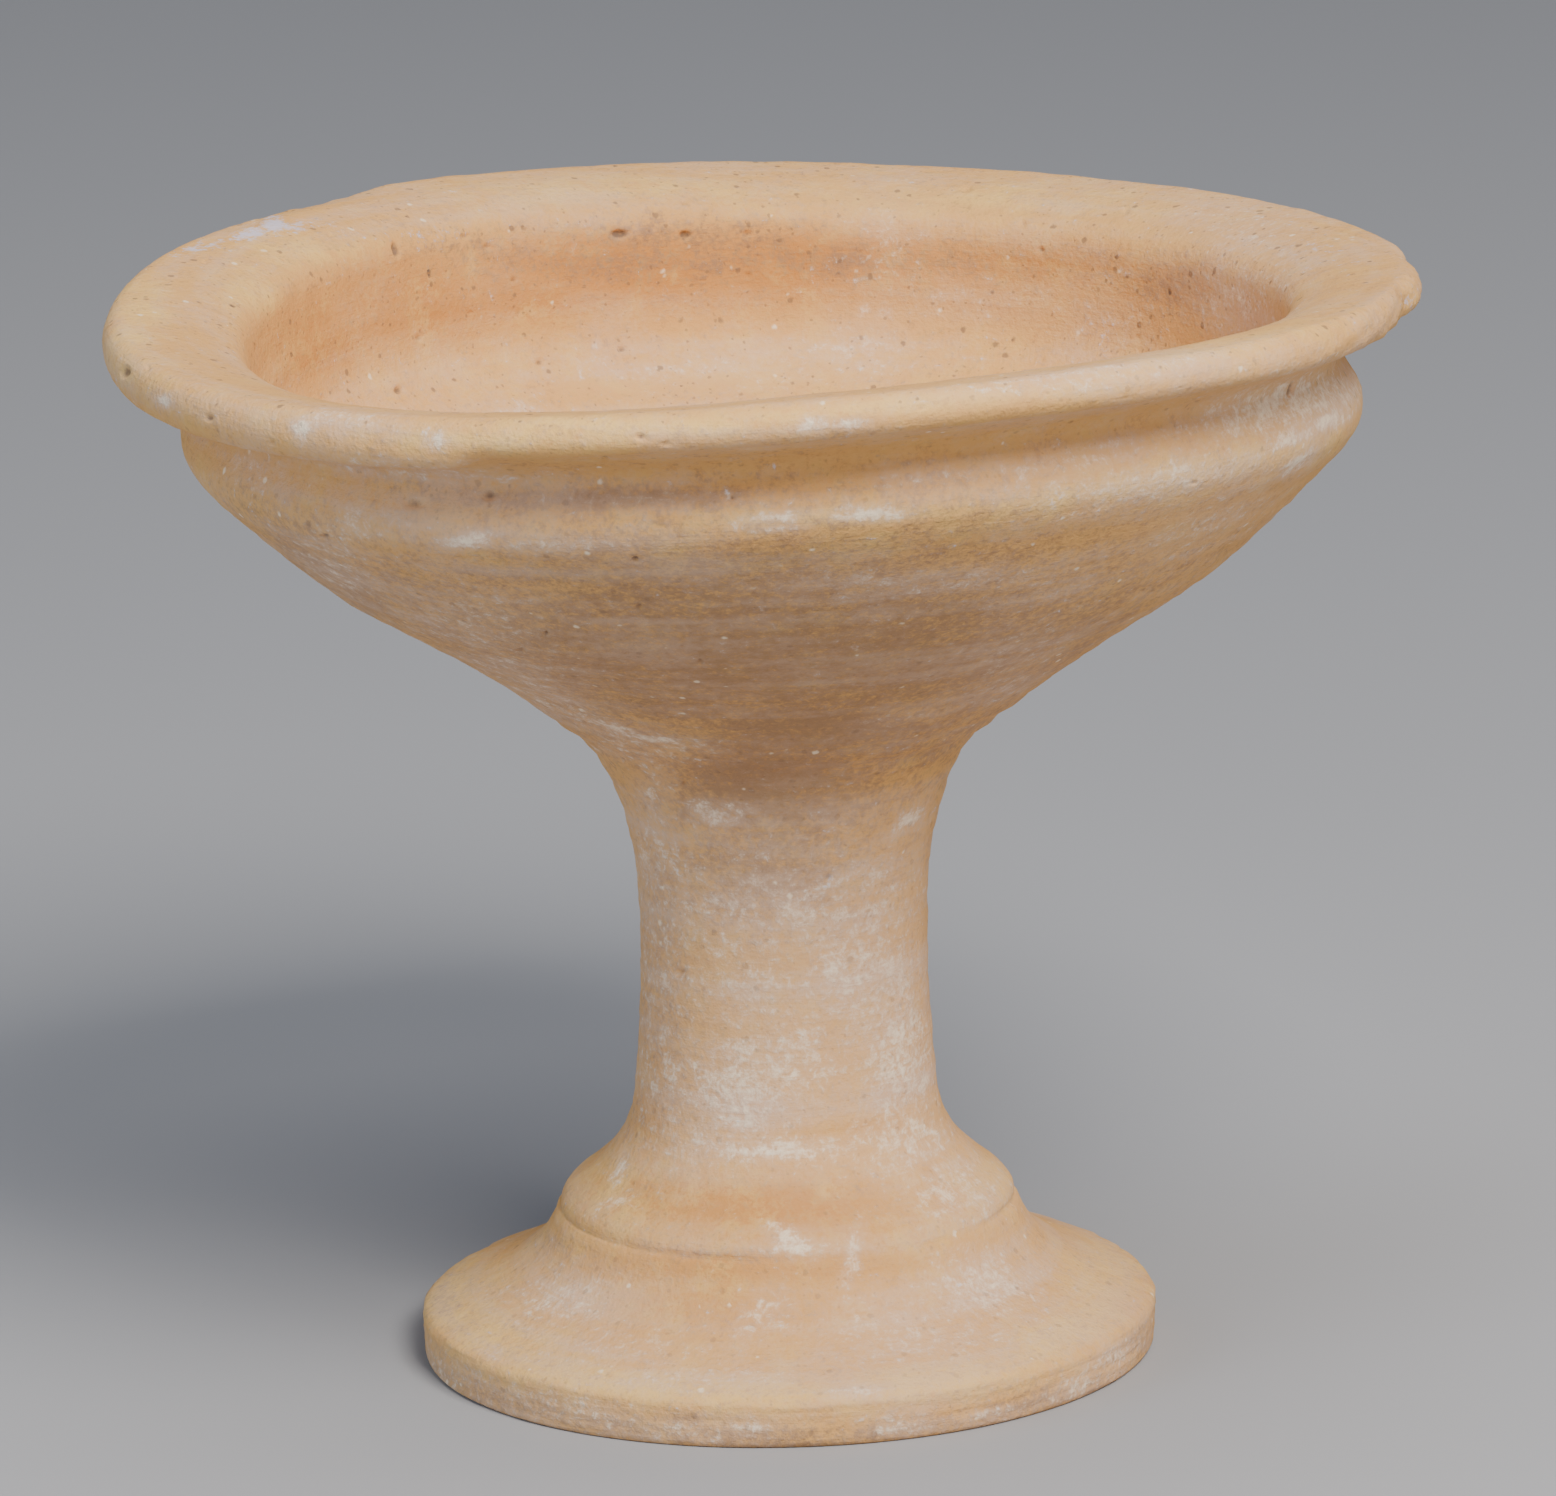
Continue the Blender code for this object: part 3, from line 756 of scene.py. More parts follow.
@dataclass(frozen=True)
class Weathering:
    """Chips, pits and throwing marks.

    Lengths are in metres and bearings in degrees. The pairs for hidden pits and patches are ranges
    of random draws. smear_heading has an outward and an upward part. divide_reaches says how far
    round each pit the faces are divided, in halves of its size, one round after another.
    """

    ripple: float = 0.00007
    ripple_pitch: float = 0.0062
    ripple_rise: float = 0.0030
    ripple_up: float = 1.35
    ripple_out: float = 0.75
    seam_drop: float = 0.001
    seam_width: float = 0.006
    edge_layers: float = 0.00020
    edge_layer_pitch: float = 0.0014
    edge_depth: float = 0.0012
    edge_skin: float = 0.0004
    edge_fade: float = 0.0008
    layer_drift: float = 0.0005
    layer_waver: float = 0.0003
    ring_fade: float = 0.0006
    break_unevenness: float = 0.00024
    break_reach: float = 0.0060
    chip_full: float = 0.0008
    flake_full: float = 0.0005
    flake_spread: float = 0.6
    crease_width: float = 0.0006
    smear: float = 0.0005
    smear_bearing: float = -62.0
    smear_spread: float = 44.0
    smear_heading: tuple[float, float] = (0.8, 0.6)
    wobble: float = 0.00036
    wobble_width: float = 0.016
    lumps: float = 0.00022
    lump_width: float = 0.0042
    grain: float = 0.00010
    grain_width: float = 0.0011
    rough_from: float = 0.0002
    rough_full: float = 0.0016
    rough_steps: int = 8
    seed: int = 11
    sight_depth: float = 0.007
    divide_reaches: tuple[float, ...] = (2.0, 1.6)
    pit_roundness: float = 1.15
    dent_roundness: float = 1.5
    hollow_gain: float = 2.3
    patch_fade: float = 0.9
    grit_outside: float = 0.45
    level_normal: float = 0.6
    hidden_pits: int = 80
    hidden_behind: float = 0.015
    hidden_normal: float = 0.2
    hidden_pit_sizes: tuple[float, float] = (0.0009, 0.0019)
    hidden_pit_depths: tuple[float, float] = (0.2, 0.6)
    hidden_patch_sizes: tuple[float, float] = (0.003, 0.012)
    hidden_patch_flatness: tuple[float, float] = (1.2, 3.0)
    hidden_patch_strengths: tuple[float, float] = (0.3, 0.8)

    def loss_at(self, losses: Sequence[Loss], angle: np.ndarray) -> np.ndarray:
        """Depth lost at the given angles, in metres.

        Args:
            losses: losses by rising bearing.
            angle: angles in radians.

        Returns:
            Depths in metres.
        """
        bearings = [loss.bearing for loss in losses]
        depths = [loss.depth * MM for loss in losses]
        return np.interp(np.degrees(angle), bearings, depths, left=0.0, right=0.0)

    def break_rim(self, points: np.ndarray, form: Form) -> np.ndarray:
        """Cut the chips and the flake out of the turned rim.

        Args:
            points: positions before settling, one a row.
            form: sizes of the turned body.

        Returns:
            Positions with the broken edge pushed in.
        """
        radius, angle, level = polar(points)
        uneven = sum(wave.at(angle, level) for wave in BREAK_WAVES)
        uneven = uneven * self.break_unevenness / len(BREAK_WAVES)
        inner = form.rim_radius - self.break_reach
        share = np.clip((radius - inner) / self.break_reach, 0.0, 1.0)
        lipside = ease(level, form.lip_level - form.lip_round, form.lip_level - form.lip_round / 2)
        lost = self.loss_at(EDGE_LOSSES, angle)
        broken = ease(lost, 0.0, self.chip_full)
        radius = radius - share * lipside * (lost + uneven * broken)
        flake = self.loss_at(TOP_LOSSES, angle)
        broken = ease(flake, 0.0, self.flake_full)
        high = ease(level, form.lip_level + form.lip_thickness / 3, form.rim_level)
        out = ease(share, 0.0, self.flake_spread)
        level = level - high * out * (flake + uneven * broken / 2)
        return np.column_stack((radius * np.cos(angle), radius * np.sin(angle), level))

    def fill_crease(self, points: np.ndarray, form: Form) -> np.ndarray:
        """Smear clay over part of the crease between the foot's slope and its dome.

        Args:
            points: positions before settling, one a row.
            form: sizes of the turned body.

        Returns:
            Positions with the crease shallower over the smeared part.
        """
        radius, angle, level = polar(points)
        across = radius - form.crease_radius
        up = level - form.step_level
        near = np.exp(-(across**2 + up**2) / self.crease_width**2)
        away = np.degrees(np.abs(wrapped(angle - math.radians(self.smear_bearing))))
        size = near * (1.0 - ease(away, self.smear_spread / 2, self.smear_spread)) * self.smear
        out, high = self.smear_heading
        parts = (np.cos(angle) * out, np.sin(angle) * out, np.full_like(angle, high))
        return points + np.column_stack(parts) * size[:, None]

    def throwing_marks(self, points: np.ndarray, normals: np.ndarray, form: Form) -> np.ndarray:
        """Shift that the potter's fingers and the layered foot edge give each point.

        Args:
            points: positions before settling, one a row.
            normals: outward normals there.
            form: sizes of the turned body.

        Returns:
            Shifts, one a row.
        """
        radius, angle, level = polar(points)
        along = level * self.ripple_up + radius * self.ripple_out
        along = along + angle / (2 * math.pi) * self.ripple_rise
        phase = 2 * math.pi * along / self.ripple_pitch
        wave = np.sin(phase) + 0.6 * np.sin(phase * 2.17 + 1.3) + 0.35 * np.sin(phase * 4.6 + angle)
        calm = 1.0 - ease(level, form.neck_level, form.lip_level)
        seam = np.exp(-((level - form.joint_level + self.seam_drop) / self.seam_width) ** 2)
        sides = 0.65 + 0.35 * np.cos(angle * 2 + 0.7)
        size = self.ripple * wave * calm * (0.7 + 1.3 * seam) * sides
        edge = ease(radius, form.foot_radius - self.edge_depth, form.foot_radius - self.edge_skin)
        top = form.foot_edge_height
        edge = edge * (1.0 - ease(level, top - self.edge_fade, top))
        drift = self.layer_drift * np.sin(angle * 3 + 0.5)
        drift = drift + self.layer_waver * np.sin(angle * 11)
        layer_phase = 2 * math.pi * (level + drift) / self.edge_layer_pitch
        patchy = 0.5 + 0.5 * np.sin(angle * 7 + 2.0) * np.sin(angle * 4.0)
        layers = np.sin(layer_phase) * patchy
        layers = layers + 0.5 * np.sin(layer_phase * 1.7 + angle * 5) * (1.0 - patchy)
        size = size * (1.0 - edge) + edge * self.edge_layers * (layers - 1.0) * 0.6
        size = size * ease(level, 0.0, self.ring_fade)
        return normals * size[:, None]


class Canvas:
    """The mesh's points as arrays, with the marks that the photograph shows laid on them.

    Fields: the share of a point that a mark doesn't reach, how plainly a wall has to face out or
    in before that tells its sides apart, and the ranges over which opposition and facing ease in.
    """

    far = 9.0
    plain_side = 0.3
    opposed_range = (0.1, 0.5)
    facing_range = (-0.15, 0.20)

    def __init__(self, item: bpy.types.Object, view: Viewpoint) -> None:
        """Read the mesh.

        Args:
            item: the object to mark.
            view: the camera that the marks' pixels belong to.
        """
        self.item = item
        self.view = view
        self.points = read_points(item)
        self.normals = read_normals(item)
        self.x, self.y, self.depth = view.seen(self.points)
        radius = np.maximum(polar(self.points)[0], MM)
        self.outward = (self.points[:, :2] * self.normals[:, :2]).sum(axis=1) / radius
        self.tree = BVHTree.FromObject(item, bpy.context.evaluated_depsgraph_get())

    def scale(self) -> float:
        """Pixels of the photograph to a millimetre, at the object."""
        return self.view.focal_pixels / self.view.distance * MM

    def opposed(self, spot: Vector, normal: Vector) -> np.ndarray:
        """How far each point lies on the other side of the wall, or faces the other way.

        Args:
            spot: a place on the surface.
            normal: the surface's normal there.

        Returns:
            0 on the same side, easing to 1 on the other.
        """
        against = -self.normals @ np.array(normal)
        side = spot.xy.normalized().dot(normal.xy)
        if abs(side) > self.plain_side:
            against = np.maximum(against, -self.outward * math.copysign(1.0, side))
        return ease(against, *self.opposed_range)

    def facing(self) -> np.ndarray:
        """1 at the points whose surface faces the camera, easing to 0 where it faces away."""
        toward = self.normals @ -np.array(self.view.axes()[2])
        return ease(toward, *self.facing_range)

    def share(self, mark: Mark, sight_depth: float) -> np.ndarray:
        """How far each point lies from the mark's middle, as a share of its half size.

        Args:
            mark: the mark.
            sight_depth: how far in front of or behind the mark's spot a point may lie.

        Returns:
            0 in the mark's middle, 1 on its edge, and more beyond it.
        """
        spot, normal, _, _ = self.tree.ray_cast(self.view.place, self.view.ray(mark.x, mark.y))
        if spot is None:
            LOG.warning("mark at %s, %s misses the piece", mark.x, mark.y)
            return np.full(len(self.x), self.far)
        depth = self.view.seen(np.array([spot]))[2][0]
        turn = math.radians(mark.turn)
        right = (self.x - mark.x) / self.scale()
        up = (mark.y - self.y) / self.scale()
        across = right * math.cos(turn) + up * math.sin(turn)
        along = up * math.cos(turn) - right * math.sin(turn)
        away = np.hypot(across / (mark.width / 2), along / (mark.height / 2))
        reach = sight_depth + np.maximum(mark.width, mark.height) * MM
        away = away + self.far * self.opposed(spot, normal)
        return np.where(np.abs(self.depth - depth) < reach, away, self.far)


def read_points(item: bpy.types.Object) -> np.ndarray:
    """Read the positions of an object's points.

    Args:
        item: the object.

    Returns:
        Positions, one a row.
    """
    values = np.empty(len(item.data.vertices) * 3, np.float32)
    item.data.vertices.foreach_get("co", values)
    return values.reshape(-1, 3).astype(float)


def write_points(item: bpy.types.Object, points: np.ndarray) -> None:
    """Set the positions of the object's points."""
    item.data.vertices.foreach_set("co", points.astype(np.float32).ravel())
    item.data.update()


def read_normals(item: bpy.types.Object) -> np.ndarray:
    """Read the normals of an object's points.

    Args:
        item: the object.

    Returns:
        Normals, one a row.
    """
    values = np.empty(len(item.data.vertices) * 3, np.float32)
    item.data.vertex_normals.foreach_get("vector", values)
    return values.reshape(-1, 3).astype(float)


@dataclass
class Chalice:
    """The vessel: turned, settled and worn.

    Fields: the sizes, the settling, the wear and the camera that the marks belong to, the steps
    round the axis, the radii outside which they are halved, and the gap under which points merge.
    """

    form: Form
    settling: Settling
    wear: Weathering
    view: Viewpoint
    first_steps: int = 96
    finer_from: tuple[float, ...] = (0.020, 0.047)
    merge_gap: float = 0.000002

    def build(self) -> bpy.types.Object:
        """Model the whole vessel.

        Returns:
            The finished mesh object at the origin.
        """
        item = self.draw_outline()
        self.spin(item)
        for halvings, radius in enumerate(self.finer_from):
            self.finer_round(item, radius, self.first_steps * 2**halvings)
        points = self.wear.break_rim(read_points(item), self.form)
        points = self.wear.fill_crease(points, self.form)
        write_points(item, points)
        points = points + self.wear.throwing_marks(points, read_normals(item), self.form)
        write_points(item, self.settling.move(points, self.form))
        self.finer_at_marks(item)
        self.roughen(item)
        self.mark(item)
        bpy.ops.object.select_all(action="DESELECT")
        item.select_set(True)
        bpy.ops.object.shade_smooth()
        LOG.info("%s: %d faces", item.name, len(item.data.polygons))
        return item

    def draw_outline(self) -> bpy.types.Object:
        """Draw the outline as a chain of edges, point by point.

        Returns:
            The object that holds the chain.
        """
        outline = self.form.outline()
        nothing_selected()
        bpy.ops.mesh.primitive_plane_add(size=self.form.foot_radius, location=(0, 0, 0))
        item = bpy.context.object
        item.name = "weathered_chalice"
        item.data.name = item.name
        bpy.ops.object.mode_set(mode="EDIT")
        bpy.ops.mesh.merge(type="CENTER")
        bpy.ops.transform.translate(value=(outline[0].x, 0.0, outline[0].y))
        for start, end in zip(outline, outline[1:]):
            step = (end.x - start.x, 0.0, end.y - start.y)
            bpy.ops.mesh.extrude_region_move(TRANSFORM_OT_translate={"value": step})
        bpy.ops.object.mode_set(mode="OBJECT")
        return item

    def spin(self, item: bpy.types.Object) -> None:
        """Turn the outline round the axis into a closed body.

        Args:
            item: the object that holds the outline.
        """
        bpy.ops.object.mode_set(mode="EDIT")
        bpy.ops.mesh.select_all(action="SELECT")
        bpy.ops.mesh.spin(
            steps=self.first_steps, angle=2 * math.pi, center=(0, 0, 0), axis=(0, 0, 1)
        )
        bpy.ops.mesh.select_all(action="SELECT")
        bpy.ops.mesh.remove_doubles(threshold=self.merge_gap)
        bpy.ops.mesh.normals_make_consistent(inside=False)
        bpy.ops.object.mode_set(mode="OBJECT")

    def finer_round(self, item: bpy.types.Object, radius: float, steps: int) -> None:
        """Halve the steps round the axis outside a radius, and move the new points out.

        Args:
            item: the turned body.
            radius: radius outside which the steps are halved.
            steps: steps round the axis so far.
        """
        points = read_points(item)
        reach = polar(points)[0]
        ends = np.empty(len(item.data.edges) * 2, np.int32)
        item.data.edges.foreach_get("vertices", ends)
        ends = ends.reshape(-1, 2)
        level = np.abs(points[ends[:, 0], 2] - points[ends[:, 1], 2]) < self.merge_gap
        even = np.abs(reach[ends[:, 0]] - reach[ends[:, 1]]) < self.merge_gap
        apart = np.linalg.norm(points[ends[:, 0], :2] - points[ends[:, 1], :2], axis=1)
        chosen = level & even & (reach[ends].mean(axis=1) > radius) & (apart > self.merge_gap)
        self.select(item, edges=chosen)
        bpy.ops.object.mode_set(mode="EDIT")
        bpy.ops.mesh.subdivide(number_cuts=1, ngon=False)
        bpy.ops.object.mode_set(mode="OBJECT")
        points = read_points(item)
        angle = polar(points)[1]
        step = 2 * math.pi / steps
        off_middle = np.mod(angle, step) - step / 2
        points[:, :2] *= (np.cos(off_middle) / math.cos(step / 2))[:, None]
        write_points(item, points)
        LOG.info("from %d steps: %d faces", steps, len(item.data.polygons))

    def select(
        self,
        item: bpy.types.Object,
        edges: Union[np.ndarray, None] = None,
        faces: Union[np.ndarray, None] = None,
    ) -> None:
        """Select edges or faces by place, and nothing else.

        Args:
            item: the object.
            edges: which edges to select.
            faces: which faces to select.
        """
        nothing_selected()
        bpy.context.view_layer.objects.active = item
        item.select_set(True)
        bpy.context.tool_settings.mesh_select_mode = (False, edges is not None, faces is not None)
        groups = ((item.data.vertices, None), (item.data.edges, edges), (item.data.polygons, faces))
        for group, chosen in groups:
            flags = np.zeros(len(group), bool) if chosen is None else chosen
            group.foreach_set("select", flags)

    def finer_at_marks(self, item: bpy.types.Object) -> None:
        """Divide the faces under each pit and gouge, once for each reach.

        Args:
            item: the settled body.
        """
        for reach in self.wear.divide_reaches:
            canvas = Canvas(item, self.view)
            near = np.zeros(len(canvas.points), bool)
            for mark in HOLLOWS:
                near |= canvas.share(mark, self.wear.sight_depth) < reach
            corners = np.empty(len(item.data.loops), np.int32)
            item.data.loops.foreach_get("vertex_index", corners)
            totals = np.empty(len(item.data.polygons), np.int32)
            item.data.polygons.foreach_get("loop_total", totals)
            owners = np.repeat(np.arange(len(totals)), totals)
            chosen = np.bincount(owners, weights=near[corners], minlength=len(totals)) > 0
            self.select(item, faces=chosen)
            bpy.ops.object.mode_set(mode="EDIT")
            bpy.ops.mesh.subdivide(number_cuts=1, ngon=False)
            bpy.ops.object.mode_set(mode="OBJECT")
        LOG.info("divided at marks: %d faces", len(item.data.polygons))

    def roughen(self, item: bpy.types.Object) -> None:
        """Give the surface its hand-made wobble, lumps and grain.

        Args:
            item: the settled body.
        """
        bpy.context.view_layer.objects.active = item
        keep = self.foot_share(read_points(item))
        above_ring = "above_ring"
        group = item.vertex_groups.new(name=above_ring)
        for weight in np.unique(keep):
            members = np.nonzero(keep == weight)[0].tolist()
            group.add(members, float(weight), "REPLACE")
        layers = (
            ("wobble", self.wear.wobble, self.wear.wobble_width),
            ("lumps", self.wear.lumps, self.wear.lump_width),
            ("grain", self.wear.grain, self.wear.grain_width),
        )
        for name, height, width in layers:
            texture = bpy.data.textures.new(f"clay_{name}", "CLOUDS")
            texture.noise_scale = width
            texture.noise_depth = 2
            push = item.modifiers.new(name, "DISPLACE")
            push.texture = texture
            push.texture_coords = "LOCAL"
            push.strength = height
            push.mid_level = 0.5
            push.vertex_group = above_ring
            bpy.ops.object.modifier_apply(modifier=push.name)
        item.vertex_groups.clear()

    def foot_share(self, points: np.ndarray) -> np.ndarray:
        """Share of the roughness that each point takes: none on the ring that it stands on."""
        share = ease(points[:, 2], self.wear.rough_from, self.wear.rough_full)
        return np.round(share * self.wear.rough_steps) / self.wear.rough_steps

    def mark(self, item: bpy.types.Object) -> None:
        """Sink the pits and lay the patches that the finish reads.

        Args:
            item: the roughened body.
        """
        canvas = Canvas(item, self.view)
        depth = np.zeros(len(canvas.points))
        for mark in HOLLOWS:
            depth = np.maximum(depth, self.dip(canvas, mark, self.wear.pit_roundness))
        depth = np.maximum(depth, self.hidden_pits(canvas))
        sunk = depth.copy()
        for mark in DENTS:
            sunk = np.maximum(sunk, self.dip(canvas, mark, self.wear.dent_roundness))
        write_points(item, canvas.points - canvas.normals * (sunk * MM)[:, None])
        self.lay(item, Layer.HOLLOW, np.clip(depth * self.wear.hollow_gain, 0.0, 1.0))
        facing = canvas.facing()
        for layer, patches in PATCHES.items():
            total = self.hidden_patches(canvas, facing, len(patches) // 2)
            for mark in patches:
                share = canvas.share(mark, self.wear.sight_depth * 2)
                spread = np.exp(-(share**2) * self.wear.patch_fade)
                total = np.maximum(total, spread * mark.strength * facing)
            self.lay(item, layer, total)
        inward = (canvas.outward < 0) | (canvas.normals[:, 2] > self.wear.level_normal)
        in_bowl = (canvas.points[:, 2] > self.form.joint_level) & inward
        self.lay(item, Layer.GRIT, np.where(in_bowl, 1.0, self.wear.grit_outside))

    def dip(self, canvas: Canvas, mark: Mark, roundness: float) -> np.ndarray:
        """Depth in millimetres that a pit or dent gives each point."""
        share = np.clip(canvas.share(mark, self.wear.sight_depth), 0.0, 1.0)
        return (1.0 - share**2) ** roundness * mark.strength

    def hidden_spot(self, points: np.ndarray, draw: random.Random) -> np.ndarray:
        """A seeded random place on the hidden sides, whatever order the points stand in.

        Args:
            points: the hidden points, one a row.
            draw: source of the random draws.

        Returns:
            The point that lies nearest to a random place in their box.
        """
        box = zip(points.min(axis=0), points.max(axis=0))
        aim = [draw.uniform(float(low), float(high)) for low, high in box]
        return points[np.linalg.norm(points - aim, axis=1).argmin()]

    def hidden_pits(self, canvas: Canvas) -> np.ndarray:
        """Pits on the sides that the photograph doesn't show, at seeded random places.

        Args:
            canvas: the mesh's points.

        Returns:
            Depth at each point, in millimetres.
        """
        draw = random.Random(self.wear.seed)
        depth = np.zeros(len(canvas.points))
        behind = canvas.points[:, 1] > self.wear.hidden_behind
        hidden = canvas.points[behind & (canvas.normals[:, 1] > self.wear.hidden_normal)]
        for _ in range(self.wear.hidden_pits):
            spot = self.hidden_spot(hidden, draw)
            size = draw.uniform(*self.wear.hidden_pit_sizes)
            away = np.linalg.norm(canvas.points - spot, axis=1) / size
            pit = np.clip(1.0 - away**2, 0.0, 1.0) * draw.uniform(*self.wear.hidden_pit_depths)
            depth = np.maximum(depth, pit)
        return depth

    def hidden_patches(self, canvas: Canvas, facing: np.ndarray, count: int) -> np.ndarray:
        """Patches on the sides that the photograph doesn't show, at seeded random places.

        Args:
            canvas: the mesh's points.
            facing: 1 where a point faces the camera and 0 where it faces away.
            count: how many patches.

        Returns:
            Strength at each point.
        """
        draw = random.Random(self.wear.seed + count)
        total = np.zeros(len(canvas.points))
        hidden = canvas.points[facing < 0.5]
        for _ in range(count):
            spot = self.hidden_spot(hidden, draw)
            size = draw.uniform(*self.wear.hidden_patch_sizes)
            flatness = draw.uniform(*self.wear.hidden_patch_flatness)
            away = np.linalg.norm((canvas.points - spot) * (1.0, 1.0, flatness), axis=1) / size
            patch = np.exp(-(away**2)) * draw.uniform(*self.wear.hidden_patch_strengths)
            total = np.maximum(total, patch)
        return total * (1.0 - facing)

    def lay(self, item: bpy.types.Object, layer: Layer, values: np.ndarray) -> None:
        """Store a value for each point under a layer's name."""
        attribute = item.data.attributes.new(layer.value, "FLOAT", "POINT")
        attribute.data.foreach_set("value", values.astype(np.float32))


Plug = Union["Socket", float, tuple]


class Socket:
    """An output of a node that takes part in Python expressions on values."""

    def __init__(self, book: "NodeBook", output: bpy.types.NodeSocket) -> None:
        """Wrap a node's output."""
        self.book = book
        self.output = output

    def __add__(self, other: Plug) -> "Socket":
        """Sum."""
        return self.book.math("ADD", self, other)

    def __radd__(self, other: Plug) -> "Socket":
        """Sum, with the number first."""
        return self.book.math("ADD", other, self)

    def __sub__(self, other: Plug) -> "Socket":
        """Difference."""
        return self.book.math("SUBTRACT", self, other)

    def __rsub__(self, other: Plug) -> "Socket":
        """Difference, with the number first."""
        return self.book.math("SUBTRACT", other, self)

    def __mul__(self, other: Plug) -> "Socket":
        """Product."""
        return self.book.math("MULTIPLY", self, other)

    def __rmul__(self, other: Plug) -> "Socket":
        """Product, with the number first."""
        return self.book.math("MULTIPLY", other, self)

    def between(self, low: float, high: float) -> "Socket":
        """Eased share of the way from low to high."""
        inputs = {"Value": self, "From Min": low, "From Max": high}
        return self.book.node("ShaderNodeMapRange", {"interpolation_type": "SMOOTHSTEP"}, inputs)


class NodeBook:
    """A material's node tree, to which expressions add their nodes."""

    def __init__(self, material: bpy.types.Material) -> None:
        """Clear the material's tree and keep it.

        Args:
            material: the material.
        """
        material.use_nodes = True
        self.tree = material.node_tree
        self.tree.nodes.clear()

    def node(
        self,
        kind: str,
        settings: Union[dict[str, Any], None] = None,
        inputs: Union[dict[str, Plug], None] = None,
        output: str = "",
    ) -> Socket:
        """Add a node.

        Args:
            kind: the node's type.
            settings: its own settings, which are set first.
            inputs: values or links by the name or identifier of the socket.
            output: name or identifier of the output wanted, or nothing for the first.

        Returns:
            The output, which is empty for a node that has none.
        """
        made = self.tree.nodes.new(kind)
        for name, value in (settings or {}).items():
            setattr(made, name, value)
        for name, value in (inputs or {}).items():
            socket = self.find(made.inputs, name)
            if isinstance(value, Socket):
                self.tree.links.new(value.output, socket)
            else:
                socket.default_value = value
        first = next(iter(made.outputs), None)
        return Socket(self, self.find(made.outputs, output) if output else first)

    @staticmethod
    def find(sockets: Sequence[bpy.types.NodeSocket], name: str) -> bpy.types.NodeSocket:
        """The socket with that identifier, or else with that name."""
        exact = (s for s in sockets if s.identifier == name)
        return next(exact, None) or next(s for s in sockets if s.name == name)

    def math(self, operation: str, first: Plug, second: Plug) -> Socket:
        """Add a Math node for an operation on two values."""
        inputs = {"Value": first, "Value_001": second}
        return self.node("ShaderNodeMath", {"operation": operation}, inputs)

    def tint(self, base: Plug, colour: Plug, share: Plug) -> Socket:
        """Lay a colour over a base by a share."""
        inputs = {"Factor_Float": share, "A_Color": base, "B_Color": colour}
        return self.node("ShaderNodeMix", {"data_type": "RGBA"}, inputs, "Result_Color")

    def noise(
        self, vector: Plug, scale: float, detail: float = 2.0, roughness: float = 0.55
    ) -> Socket:
        """Value of a noise at a vector."""
        inputs = {"Vector": vector, "Scale": scale, "Detail": detail, "Roughness": roughness}
        return self.node("ShaderNodeTexNoise", {}, inputs, "Fac")

    def stretched(self, vector: Plug, factors: tuple[float, float, float]) -> Socket:
        """A vector scaled by a factor for each axis."""
        inputs = {"Vector": vector, "Vector_001": factors}
        return self.node("ShaderNodeVectorMath", {"operation": "MULTIPLY"}, inputs)

    def other(self, socket: Socket, output: str) -> Socket:
        """Another output of the node that a socket belongs to."""
        return Socket(self, self.find(socket.output.node.outputs, output))

    def attribute(self, layer: Layer) -> Socket:
        """Value of a layer of the mesh."""
        return self.node("ShaderNodeAttribute", {"attribute_name": layer.value}, {}, "Fac")


class Scatter(NamedTuple):
    """A scatter of dots.

    Fields: its cells to a metre, the largest dot as a share of its cell, the share of the cells
    that stay empty, and how strongly the dots cover the clay.
    """

    scale: float
    largest: float
    empty: float
    strength: float


